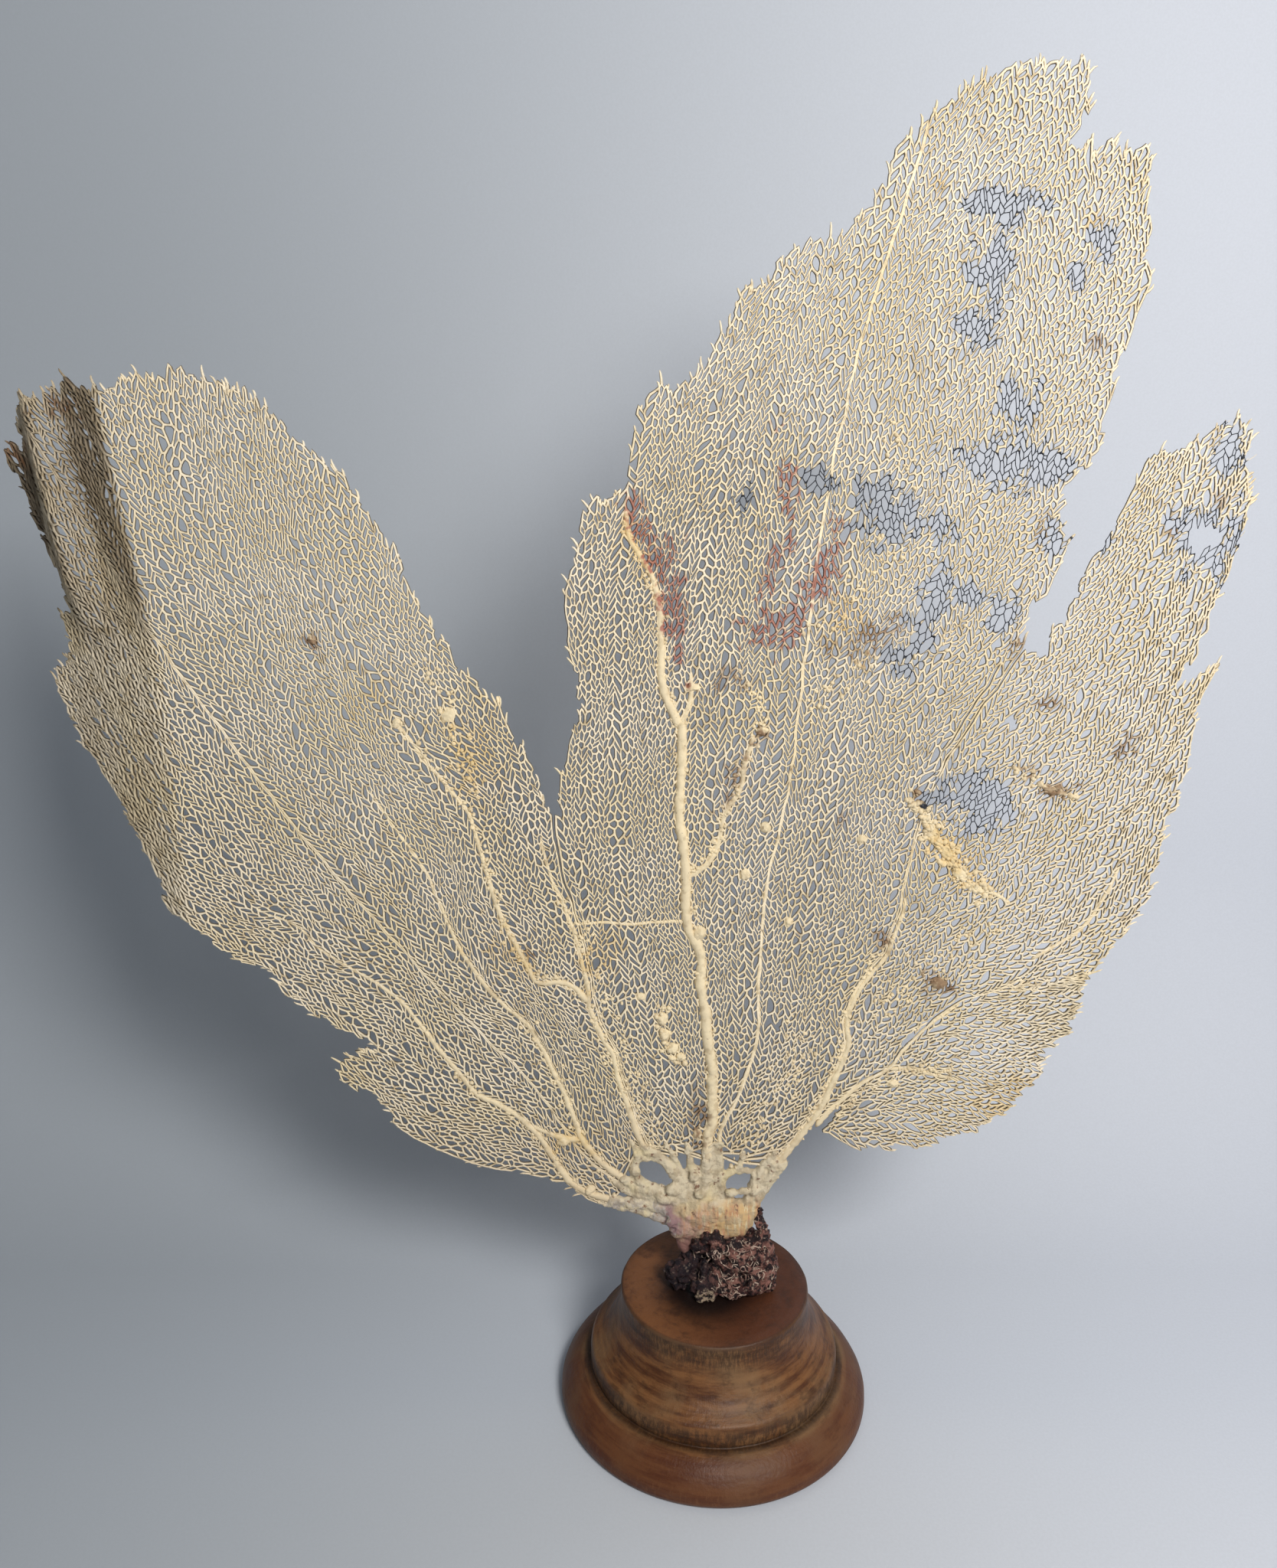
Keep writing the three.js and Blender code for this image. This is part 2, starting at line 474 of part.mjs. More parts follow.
function sheetDepth(x, z) {
  const crease = THREE.MathUtils.lerp(CREASE.low, CREASE.high, smoothStep(CREASE.from, CREASE.to, z));
  const left = Math.max(crease - x, 0);
  const change = smoothStep(FOLD_CHANGE.from, FOLD_CHANGE.to, z);
  const fold = THREE.MathUtils.lerp(foldCurve(LOW_FOLD, left), foldCurve(HIGH_FOLD, left), change);
  const wave = 3 * Math.sin((x + 45) / 34) * smoothStep(140, 240, z) * smoothStep(-215, -150, x);
  const curl = 9 * smoothStep(105, 145, x) * smoothStep(200, 150, z);
  return fold + wave + curl;
}

function sheetNormal(x, z) {
  const step = 2;
  const dx = (sheetDepth(x + step, z) - sheetDepth(x - step, z)) / (2 * step);
  const dz = (sheetDepth(x, z + step) - sheetDepth(x, z - step)) / (2 * step);
  return new THREE.Vector3(-dx, 1, -dz).normalize();
}

// Bend a solid made flat, with the sheet in its XY plane and its thickness along Z, to the relief.
function bendSheet(geometry, thicken) {
  const position = geometry.attributes.position;
  for (let i = 0; i < position.count; i += 1) {
    const [x, z] = [position.getX(i), position.getY(i)];
    const offset = -position.getZ(i) * thicken(x, z);
    const bent = sheetNormal(x, z).multiplyScalar(offset).add(new THREE.Vector3(x, sheetDepth(x, z), z));
    position.setXYZ(i, bent.x, bent.y, bent.z);
  }
  return geometry;
}

// Half thickness of the net, which thins from the trunk outwards.
function netHalfThickness(x, z) {
  const away = Math.hypot(x, z - 100);
  const share = Math.exp(-away / THINNING_LENGTH);
  return EDGE_HALF_THICKNESS + (ROOT_HALF_THICKNESS - EDGE_HALF_THICKNESS) * share;
}

// Pieces

// The line that a rib follows on the sheet.
function ribLine(rib) {
  if (rib.path) return rib.path;
  const curve = guides[rib.along];
  const count = Math.round((rib.to - rib.from) / RIB_STEP);
  return Array.from({ length: count + 1 }, (_, i) => {
    const point = alongGuide(curve, rib.from + ((rib.to - rib.from) * i) / count);
    return [point.x, point.y];
  });
}

// A rib is a tapered six-sided rod along its line.
function ribSolid(rib) {
  const line = ribLine(rib);
  const path = new THREE.CatmullRomCurve3(line.map(([x, y]) => new THREE.Vector3(x, y, 0)));
  const section = new THREE.Shape(Array.from({ length: 6 }, (_, i) => {
    const angle = (i * Math.PI) / 3;
    return new THREE.Vector2(Math.cos(angle), Math.sin(angle));
  }));
  const steps = line.length - 1;
  const rod = new THREE.ExtrudeGeometry(section, { steps, bevelEnabled: false, extrudePath: path });
  const stations = path.getSpacedPoints(steps);
  const position = rod.attributes.position;
  const vertex = new THREE.Vector3();
  for (let i = 0; i < position.count; i += 1) {
    vertex.fromBufferAttribute(position, i);
    let nearest = 0;
    stations.forEach((station, k) => {
      if (station.distanceTo(vertex) < stations[nearest].distanceTo(vertex)) nearest = k;
    });
    const radius = THREE.MathUtils.lerp(rib.radii[0], rib.radii[1], nearest / steps);
    vertex.sub(stations[nearest]).multiplyScalar(radius).add(stations[nearest]);
    position.setXYZ(i, vertex.x, vertex.y, vertex.z);
  }
  return solidOf(rod);
}

// A lump is a turned ellipsoid with its middle on the sheet.
function lumpSolid(lump) {
  const geometry = new THREE.SphereGeometry(1, 8, 5);
  geometry.scale(lump.size[0], lump.size[1], lump.size[2]);
  geometry.rotateZ(THREE.MathUtils.degToRad(lump.turn));
  geometry.translate(lump.at[0], lump.at[1], 0);
  return solidOf(geometry);
}

// A flat plate, with its middle plane at height 0.
function plate(outline, holes, halfThickness) {
  const shape = shapeOf(outline, holes);
  const geometry = new THREE.ExtrudeGeometry(shape, { depth: 2 * halfThickness, bevelEnabled: false });
  geometry.translate(0, 0, -halfThickness);
  return geometry;
}

// One blade of the fan: a pierced plate with its ribs and lumps, bent to the relief.
function makeBlade(outline, ribs, lumps) {
  const tears = TEARS.filter((tear) => insidePolygon(tear[0], outline));
  const ribRows = ribs.map((rib) => ({ line: ribLine(rib), radius: (rib.radii[0] + rib.radii[1]) / 2 }));
  const holes = [...openCells(outline, ribRows, lumps, tears), ...tears];
  const bounds = solidOf(plate(outline, [], TALLEST_LUMP));
  let solid = solidOf(plate(outline, holes, 1));
  ribs.forEach((rib) => {
    solid = solid.add(ribSolid(rib).intersect(bounds));
  });
  lumps.forEach((lump) => {
    solid = solid.add(lumpSolid(lump).intersect(bounds));
  });
  return bendSheet(geometryOf(solid.simplify(SMALLEST_STEP)), netHalfThickness);
}

// The base is one turned solid.
function makeBase() {
  const profile = vectors(reversed(BASE_PROFILE));
  const geometry = new THREE.LatheGeometry(profile, BASE_SEGMENTS);
  geometry.rotateX(Math.PI / 2);
  return geometryOf(solidOf(geometry));
}

// Roughness of a lump: a few sine waves over its directions, so that it repeats exactly.
function roughness(direction, seed) {
  return Math.sin(5 * direction.x + seed) * Math.sin(4 * direction.y + 2 * seed)
    + 0.6 * Math.sin(9 * direction.z + 3 * seed) * Math.cos(7 * direction.x - seed);
}

// The holdfast is cut level above the base, and out from under the trunk's foot.
function makeHoldfast() {
  let solid = null;
  HOLDFAST_LUMPS.forEach((lump, index) => {
    const geometry = new THREE.SphereGeometry(1, 9, 6);
    geometry.rotateX(Math.PI / 2);
    const position = geometry.attributes.position;
    const vertex = new THREE.Vector3();
    for (let i = 0; i < position.count; i += 1) {
      vertex.fromBufferAttribute(position, i);
      vertex.multiplyScalar(1 + lump.rough * roughness(vertex, index + 1));
      position.setXYZ(i, vertex.x, vertex.y, vertex.z);
    }
    geometry.scale(...lump.size);
    geometry.translate(...lump.at);
    const part = solidOf(geometry);
    solid = solid ? solid.add(part) : part;
  });
  const cutter = 60;
  const floor = new THREE.BoxGeometry(cutter, cutter, cutter);
  floor.translate(0, 0, BASE_HEIGHT + TOUCH_GAP - cutter / 2);
  const seat = new THREE.BoxGeometry(cutter, cutter, cutter);
  const seatSide = TRUNK_SIDES.right.at(-1)[0] + TOUCH_GAP + TRUNK_SIDE_CLEARANCE;
  seat.translate(seatSide - cutter / 2, 0, TRUNK_BOTTOM - TOUCH_GAP + cutter / 2);
  solid = solid.subtract(solidOf(floor)).subtract(solidOf(seat));
  return geometryOf(solid.simplify(SMALLEST_STEP));
}

// The trunk is a rounded plate, 2 thick before it is bent, which swells towards its foot.
function makeTrunk() {
  const outline = [
    ...moved(TRUNK_CROWN, -SEAM_GAP), ...TRUNK_SIDES.right, ...TRUNK_SIDES.left,
  ];
  const geometry = new THREE.ExtrudeGeometry(shapeOf(outline, TRUNK_HOLES), {
    depth: 2 - 2 * TRUNK_ROUNDING,
    bevelEnabled: true,
    bevelThickness: TRUNK_ROUNDING,
    bevelSize: 1,
    bevelOffset: -1,
    bevelSegments: 2,
  });
  geometry.translate(0, 0, TRUNK_ROUNDING - 1);
  const swell = (x, z) => THREE.MathUtils.lerp(TRUNK_FOOT_HALF_THICKNESS, ROOT_HALF_THICKNESS,
    smoothStep(TRUNK_BOTTOM, TRUNK_TOP, z + Math.abs(x + 2) * 0.35));
  return bendSheet(geometryOf(solidOf(geometry)), swell);
}

// Outlines of the blades. A seam is shared by two blades, each half a gap away from it.
const half = SEAM_GAP / 2;
const crownTo = (index) => TRUNK_CROWN.slice(0, index + 1);
const crownFrom = (index, end) => TRUNK_CROWN.slice(index, end + 1);
const leftOutline = [
  ...LEFT_MARGIN, ...reversed(moved(LEFT_SEAM, half)), ...reversed(crownTo(CROWN_LEFT_SEAM)).slice(1, -1),
];
const centreOutline = [
  ...moved(LEFT_SEAM, -half), ...CENTRE_MARGIN, ...reversed(moved(RIGHT_SEAM, half)),
  ...reversed(crownFrom(CROWN_LEFT_SEAM, CROWN_RIGHT_SEAM)).slice(1, -1),
];
const rightOutline = [
  ...moved(RIGHT_SEAM, -half), ...RIGHT_MARGIN, ...reversed(moved(LOWER_SEAM, half)),
  ...reversed(ARM_MARGIN),
];
const lowerRightOutline = [...moved(LOWER_SEAM, -half), ...LOWER_RIGHT_MARGIN];

// Assembly

const seaFan = new THREE.Group();

function addPiece(name, geometry, color, roughness) {
  const material = new THREE.MeshStandardMaterial({ color, roughness, metalness: 0, flatShading: true });
  const mesh = new THREE.Mesh(geometry, material);
  mesh.name = name;
  seaFan.add(mesh);
}

addPiece('base', makeBase(), COLOURS.wood, 0.5);
addPiece('holdfast', makeHoldfast(), COLOURS.crust, 0.9);
addPiece('trunk', makeTrunk(), COLOURS.trunk, 0.8);
addPiece('left_blade', makeBlade(leftOutline, RIBS.left, LUMPS.left), COLOURS.net, 0.85);
addPiece('centre_blade', makeBlade(centreOutline, RIBS.centre, LUMPS.centre), COLOURS.net, 0.85);
addPiece('right_blade', makeBlade(rightOutline, RIBS.right, LUMPS.right), COLOURS.net, 0.85);
addPiece('lower_right_blade', makeBlade(lowerRightOutline, RIBS.lowerRight, LUMPS.lowerRight),
  COLOURS.net, 0.85);

export default seaFan;
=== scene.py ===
import math
import random

import bpy
import numpy as np
from mathutils import Matrix, Vector, noise


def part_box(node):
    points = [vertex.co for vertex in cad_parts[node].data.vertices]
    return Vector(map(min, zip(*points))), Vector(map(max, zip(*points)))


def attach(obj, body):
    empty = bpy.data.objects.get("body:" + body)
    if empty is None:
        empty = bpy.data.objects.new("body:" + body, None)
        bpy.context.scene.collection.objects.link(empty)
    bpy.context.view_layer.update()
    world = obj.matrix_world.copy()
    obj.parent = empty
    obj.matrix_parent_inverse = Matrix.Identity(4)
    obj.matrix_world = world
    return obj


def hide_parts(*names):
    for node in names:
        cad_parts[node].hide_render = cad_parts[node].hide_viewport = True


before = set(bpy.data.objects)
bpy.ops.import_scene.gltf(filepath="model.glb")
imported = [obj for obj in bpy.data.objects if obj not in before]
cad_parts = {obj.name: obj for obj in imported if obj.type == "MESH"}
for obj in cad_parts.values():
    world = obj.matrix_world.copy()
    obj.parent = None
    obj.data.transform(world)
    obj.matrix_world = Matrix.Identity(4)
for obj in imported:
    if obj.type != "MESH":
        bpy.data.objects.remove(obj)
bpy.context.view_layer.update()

# The fan is drawn on a flat sheet in millimetres, x to the right and z up, with the base's underside at
# z 0. The net, the ribs and the lumps are laid out there and then bent to the fan's relief, in metres.

MM = 0.001
REACH = 450            # how far the growth lines run from the trunk, mm
SPLIT_GAP = 3.2        # two strands further apart than this get a new strand between them, mm
OPENING_GAP = 1.1      # cells start between two strands that are at least this far apart, mm
CLOSING_GAP = 0.75     # and end where the strands draw closer than this, mm
CELL_LENGTH = 3.6      # usual distance between cross links along a strand, mm
STRAND_HALF = 0.60     # usual half width of a strand, mm
STRAND_HALF_DEPTH = 0.95   # and its half thickness, front to back, mm
BARE_HALF = 0.15       # half width of a strand that has lost its crust, mm
SMALLEST_HOLE = 0.15   # a smaller opening in the net is grown over, mm2
LINK_CLEARANCE = 1.0   # least distance between the joints of two cross links on one strand, mm
LINK_PULL = 0.3        # how far a cross link draws its strand towards itself, mm
WANDER = 1.0           # how far the strands stray from their growth lines, mm
SPLIT_SPREAD = (0.86, 1.14)   # least and largest share of SPLIT_GAP at which strands get a new one
CELL_SPREAD = (0.62, 1.35)    # least and largest share of CELL_LENGTH
LINK_SLANT = (0.3, 0.85)      # rise of a cross link on each side, as a share of the gap
SPLIT_PLACE = (0.42, 0.58)    # where a new strand starts between two others
SAME_LEAN = 0.8        # share of the cross links that lean like the others between two strands
NARROW_GAP = 2.6       # between strands closer than this, mm,
NARROW_SHARE = 0.8     # cells are shortened to this share
LAST_CELL = 0.55       # least length of the last cell between two strands, as a share of CELL_LENGTH
WIDEST_STRAND = 0.8    # share of a cell that its strands may take up at most, against a filled cell
DEEPEST_CORNER = 0.85  # share of the way to a cell's middle that a corner may be drawn in
SHARPEST_CORNER = 0.7  # least length of two sides' summed directions, which limits long corners
SOFT_CORNERS = 0.27    # how much the corners of an opening are rounded
FILLED_DEPTH = 0.12    # thickness of the skin in a filled cell, as a share of the strands'
DEEPEST_STRAND = 1.2   # greatest half thickness of a strand, mm
EDGE_BREAKS = (1.9, 4.2)      # joints this far apart, mm, have one point between them, or two
EDGE_BOW = 0.3         # how far such a point lies beside the straight way at most, mm
TIP_SHARE = 0.25       # share of the joints along the net's edge that carry a free strand end
TIP_LENGTH = (1.2, 4.6)       # least and largest length of a free strand end, mm
TOOTH_STEP = 1.8       # distance between the points of the torn margins, mm
TRUNK_TOP = 95.0       # height from which the free ends point away, mm
SEED = 7

random_of = random.Random(SEED)

# Boundaries of the blades on the sheet, each read from the trunk outwards
LEFT_MARGIN = [
    (-43, 89.2), (-50.3, 91), (-59.4, 98.7), (-65.6, 103.8), (-76.7, 106.5), (-88, 109), (-99, 109.2),
    (-108.6, 115), (-119, 118.5), (-127, 125), (-131.8, 129), (-132, 135), (-139, 144), (-146, 146.4),
    (-151.2, 151.8), (-147, 158.5), (-139, 161.7), (-133.5, 163.5), (-135, 167), (-143.3, 169.3),
    (-153, 174), (-161.4, 179.2), (-165, 184.5), (-174, 187.6), (-168, 191), (-174, 195),
    (-186.4, 200), (-197.5, 210), (-204.4, 218), (-212, 219.7), (-215, 230), (-220, 238.8),
    (-228, 251), (-231.5, 260), (-238.5, 267), (-247.5, 278.8), (-252.5, 288.8), (-257, 298.8),
    (-258, 306.3), (-256, 311.5), (-250, 313), (-248, 320), (-249.6, 331), (-243, 333.5),
    (-245.6, 343.8), (-250, 353.8), (-256.3, 370), (-260, 382.5), (-267, 388.3), (-259, 391),
    (-252, 391.5), (-255, 400.6), (-249.4, 405.8), (-240, 407.2), (-235, 410.8), (-229, 413),
    (-220, 411), (-207, 413), (-196, 415.8), (-185, 415.8), (-171, 411.7), (-160, 405.5),
    (-148.9, 394.5), (-137.5, 384.5), (-129, 373), (-120.7, 360.5), (-114, 347), (-107, 331.5),
    (-99, 320), (-90.6, 308), (-81, 301), (-78, 289.5), (-72.5, 281), (-68.3, 267), (-64.5, 258.5),
]
CENTRE_MARGIN = [
    (-60.2, 260), (-62.2, 272.8), (-58.6, 278.3), (-56, 290.8), (-52.2, 298), (-53, 311.7),
    (-57.8, 324), (-59.6, 339.4), (-53.5, 356), (-52.4, 368.6), (-43.3, 376), (-34.6, 378.5),
    (-32.6, 389.4), (-31, 402), (-25.3, 413.5), (-18.3, 410.5), (-8.6, 419), (-3, 431), (5, 442.5),
    (13.6, 448), (20.6, 457), (34.4, 457.7), (41.4, 463.5), (48.3, 476), (53.9, 487), (62.2, 495.5),
    (73.3, 502.5), (87.2, 508.5), (106.7, 509.5), (111.5, 499.2), (107, 487), (110, 482.8),
    (122, 484.2), (131.7, 484.5), (133, 464.4), (136.9, 446.4), (133, 431), (127.5, 422.8),
    (129, 408.9), (124.7, 393.6), (115.3, 381), (110.8, 369), (117.8, 362), (116.6, 348),
    (107, 338), (102.7, 328.3),
]
RIGHT_MARGIN = [
    (108, 321), (112.2, 319.7), (117, 325.6), (122, 339.4), (127.5, 353.3), (134.4, 364.4),
    (138.6, 378.3), (144.2, 389.4), (156.7, 391.3), (165, 401), (177.5, 398), (180.3, 375.6),
    (179, 356), (174.7, 339.4), (169.2, 322.8), (162, 308.5), (166, 307), (178.3, 318.6),
    (173.5, 300.6), (170.8, 281), (166.6, 261.7), (163.8, 242), (162, 225.6), (151, 207.5), (142, 195),
]
LOWER_RIGHT_MARGIN = [
    (140.3, 176), (139, 167), (132, 158), (129, 148), (122, 140.5), (111, 131), (103, 126.5),
    (92, 124.5), (84, 118.5), (70, 118.4), (57, 119), (47, 118.6), (44, 122),
]
ARM_MARGIN = [(21.5, 101), (23.6, 103.8), (29, 112), (34, 118), (38.5, 123)]

# Seams between neighbouring blades
LEFT_SEAM = [
    (-22, 114), (-27, 119), (-30, 127), (-33, 138), (-36.5, 149), (-38.8, 160), (-43.5, 169),
    (-46.8, 178), (-48.5, 190), (-51, 202), (-53, 213), (-55, 222), (-57, 232), (-59.5, 247),
    (-62.5, 259),
]
RIGHT_SEAM = [
    (17.5, 108.5), (23, 114.8), (27.5, 120.6), (32, 127), (36, 133.5), (40.4, 141.5), (43.5, 150),
    (47, 159.5), (48.3, 166.5), (47, 174), (49, 182), (52.3, 190), (56.3, 197), (60.8, 203),
    (63.3, 211), (65.8, 220), (67, 235), (69, 250), (71.5, 268), (79, 284), (89, 300), (97, 312),
    (105, 321),
]
LOWER_SEAM = [
    (42, 124), (41.4, 128.5), (41.6, 133), (46.5, 139.4), (52, 145.2), (59.5, 151.6), (67, 157),
    (70.5, 164), (78, 173.2), (84.5, 179.5), (91, 184.5), (98.5, 188.3), (108, 189.6), (118, 190.5),
    (130, 191.5), (141, 193),
]
TRUNK_CROWN = [
    (-43, 89.2), (-41, 97), (-37.5, 105), (-33, 112.3), (-26, 115.5), (-22, 114), (-19, 113),
    (-12, 110.5), (-5, 110), (2, 108.5), (10, 107.8), (17.5, 108.5), (21.5, 101),
]
CROWN_LEFT_SEAM = 5
CROWN_RIGHT_SEAM = 11

# Holes torn into the net
TEARS = [
    [(16.5, 171), (17, 174.5), (21, 176), (25, 174), (26, 171), (21, 169.5)],
    [(160.5, 365), (165, 368.5), (173, 365.5), (175, 361.5), (168, 358), (162.5, 354), (161.5, 360)],
    [(102, 300), (104, 304), (107, 300), (108, 295), (104, 292.5), (101.5, 296)],
    [(95, 324), (97, 330), (99, 325), (97.5, 322)],
    [(-55.5, 221), (-54, 224), (-52.5, 222), (-54, 220)],
]

# Growth lines of the net, each from the trunk outwards, in order round the fan from its lower left
ARM = [(24.5, 104), (29, 110.2), (33.3, 116.2), (37.4, 122.2)]
GUIDES = [
    [(-40, 89.5), (-52, 93), (-61, 100.5), (-78, 105.5), (-98, 110), (-116, 118), (-130, 128),
     (-146, 142), (-165, 158)],
    [(-38.5, 90.5), (-52, 94.5), (-63, 103.5), (-72, 112), (-84, 119), (-102, 127), (-122, 137),
     (-142, 152), (-165, 172)],
    [(-37, 92), (-50, 95.5), (-60, 102), (-66.5, 113), (-73, 124), (-81, 132.5), (-89, 138),
     (-97.5, 143), (-103, 151), (-111, 162.5), (-119, 175), (-124, 182.5), (-131, 189), (-139, 194.5),
     (-150, 201.5), (-157.5, 207.5), (-162, 213.5), (-168, 217), (-178, 221), (-187.5, 231),
     (-200, 246), (-214, 264), (-230, 285), (-252, 312)],
    [(-36, 97), (-47, 107), (-57, 118), (-64, 130), (-74, 146), (-88, 163), (-104, 182), (-122, 205),
     (-142, 230), (-163, 258), (-184, 290), (-205, 325), (-226, 360), (-246, 395)],
    [(-33, 99), (-39, 104), (-45, 109), (-50.5, 115), (-55, 122), (-58, 132), (-61.5, 142),
     (-65.5, 152), (-70, 162.5), (-76, 174), (-82.5, 180), (-89, 187), (-95.6, 197.5), (-100, 205),
     (-104.4, 216.3), (-108.8, 228.8), (-113, 240), (-120, 251), (-132, 270), (-147, 296),
     (-163, 326), (-178, 360), (-190, 395), (-196, 425)],
    [(-32, 113.5), (-36, 124), (-41, 138), (-47, 154), (-55, 168), (-63, 180), (-70, 189.5),
     (-74, 196), (-78, 206), (-83.5, 219), (-88, 232.5), (-91, 246), (-95, 261), (-100, 269),
     (-108.8, 280), (-115, 286), (-120, 296), (-124, 304), (-133, 322), (-143, 346), (-152, 372),
     (-160, 400), (-166, 425)],
    [(-24, 114.5), (-29, 117.5), (-33, 126.3), (-36.3, 137.5), (-40, 149), (-42, 160), (-47, 169),
     (-50, 177.5), (-51.5, 183), (-52, 190), (-54.4, 202.5), (-57, 214), (-61.3, 226), (-66.5, 240),
     (-69, 256), (-72, 272), (-76, 288), (-80, 302), (-85, 322), (-90, 346), (-95, 372), (-99, 400),
     (-102, 425)],
    [(-21, 114.5), (-26, 120), (-29.5, 128), (-33, 139), (-36.5, 150), (-38.5, 161), (-43, 170),
     (-46, 180), (-47.5, 192), (-50, 204), (-52.5, 216), (-54.5, 228), (-57, 245), (-59, 262),
     (-58, 282), (-55, 300), (-56, 318), (-58, 340), (-56, 362), (-52, 385), (-46, 410)],
    [(-15, 112), (-20, 126), (-25, 142), (-29, 160), (-32, 180), (-35, 202), (-38, 226), (-40, 252),
     (-41, 280), (-41, 310), (-40, 340), (-37, 370), (-33, 400), (-28, 430)],
    [(-4, 110), (-3.8, 122.5), (-2, 132.5), (-2.5, 145), (-2.5, 155), (-4.4, 166.3), (-5.6, 177.5),
     (-7.5, 188), (-7.5, 199), (-9, 206.5), (-12.5, 213), (-13.8, 222.5), (-13.8, 235), (-15, 247.5),
     (-16.6, 260), (-16, 275), (-15.7, 286), (-16, 297), (-16.5, 310), (-16, 325), (-15, 345),
     (-12, 370), (-6, 400), (3, 430)],
    [(-1.5, 112), (-1, 124), (3, 136), (5.5, 150), (6, 165), (5, 180), (4, 202), (3, 226), (3, 250),
     (5, 276), (7, 304), (9, 334), (13, 366), (19, 400), (27, 434), (36, 466)],
    [(1, 112), (1.5, 126), (7, 138), (11.3, 151.3), (14.4, 162.5), (15.6, 175), (15, 189),
     (15.6, 201), (16.3, 217.5), (17.5, 232.5), (20.6, 247.5), (23, 262.5), (25.7, 279), (27, 296),
     (28, 315), (30, 340), (33, 368), (38, 400), (45, 434), (54, 466), (62, 495)],
    [(9, 108), (13, 122), (19, 138), (25, 154), (29, 172), (32, 192), (35, 214), (38, 238),
     (42, 264), (46, 292), (51, 322), (57, 352), (64, 384), (72, 416), (80, 448), (88, 480),
     (96, 512)],
    [(19, 109.5), (23.5, 115), (28, 121), (32.5, 127.5), (36.7, 134), (41, 142), (44, 150.5),
     (47.3, 160), (48.5, 167), (47.3, 174.5), (49.3, 182.5), (52.8, 190.5), (56.8, 197.5), (61, 204),
     (63.5, 212), (66, 222), (67.5, 236), (70, 252), (74, 270), (82, 288), (92, 306), (100, 322),
     (106, 340), (112, 362), (118, 384), (124, 410), (130, 440), (136, 470)],
    [(21.5, 105.5), (26, 112), (30, 118), (34, 124), (38.8, 131), (43.1, 140), (46.3, 149),
     (50, 159), (51.3, 166.3), (50, 174), (52, 181.3), (55, 189), (58.8, 195), (63.8, 201.5),
     (66.3, 210), (69, 219), (71, 233), (74, 249), (78, 266), (85, 283), (95, 300), (106, 315),
     (114, 330), (122, 348), (131, 368), (141, 390), (150, 410)],
    [(22.5, 105), (27, 111.5), (31.2, 117.5), (35.2, 123.5), (40, 131), (45.5, 139.5), (51, 149),
     (56, 160), (60, 172), (66, 186), (74, 200), (82, 216), (91, 235), (101, 255), (112, 276),
     (123, 298), (133, 322), (142, 346), (151, 372), (160, 398), (168, 420)],
    [(23.2, 104.6), (27.7, 111), (32, 117), (36, 123), (41, 130.5), (48, 138.5), (56, 148),
     (63, 158.5), (71, 170), (80, 182), (91, 196), (103, 213), (115, 232), (127, 252), (139, 275),
     (150, 298), (160, 322), (169, 348), (178, 376), (186, 404)],
    [(24, 104.2), (28.4, 110.5), (32.7, 116.5), (36.8, 122.5), (41.5, 130), (47, 136.8),
     (52.5, 142.5), (60, 148.8), (68.8, 154.4), (72.5, 161), (80, 170), (86.3, 176.3), (92.5, 181.3),
     (98.8, 185), (108, 187), (120, 193), (133, 203), (146, 217), (157, 234), (168, 255),
     (180, 281), (192, 310), (204, 342)],
    ARM + [(42, 129.6), (47.8, 136), (53.5, 141.6), (61, 147.6), (69.5, 153), (76, 160), (84, 168),
           (93, 174.5), (103, 179), (115, 183), (128, 187), (145, 192)],
    ARM + [(42.4, 129.2), (48.4, 135.2), (54.5, 140.6), (62, 146.2), (70.5, 151.6), (79, 158),
           (89, 164), (101, 167.5), (114, 169.5), (128, 171.5), (146, 174)],
    ARM + [(42.8, 128.6), (49, 134.4), (55.5, 139.4), (63, 144.8), (71.5, 150), (80, 153.5),
           (90, 155.5), (102, 156), (115, 155.5), (128, 155), (144, 154)],
    ARM + [(43.2, 128), (49.8, 133.4), (56.5, 138), (64, 143), (72.5, 147), (83, 149), (95, 148.5),
           (107, 146.5), (119, 144.5), (133, 142)],
    ARM + [(43.6, 127.4), (50.6, 132), (58, 136), (67, 139.2), (78, 140.2), (90, 140), (102, 138.6),
           (114, 136.5), (129, 133)],
    ARM + [(44, 126.6), (51.5, 129.6), (60, 131.4), (71, 132), (83, 131), (95, 128.5), (106, 125),
           (118, 120)],
    ARM + [(44, 125.4), (51, 123.4), (59, 121.6), (68, 119.6), (80, 116)],
]

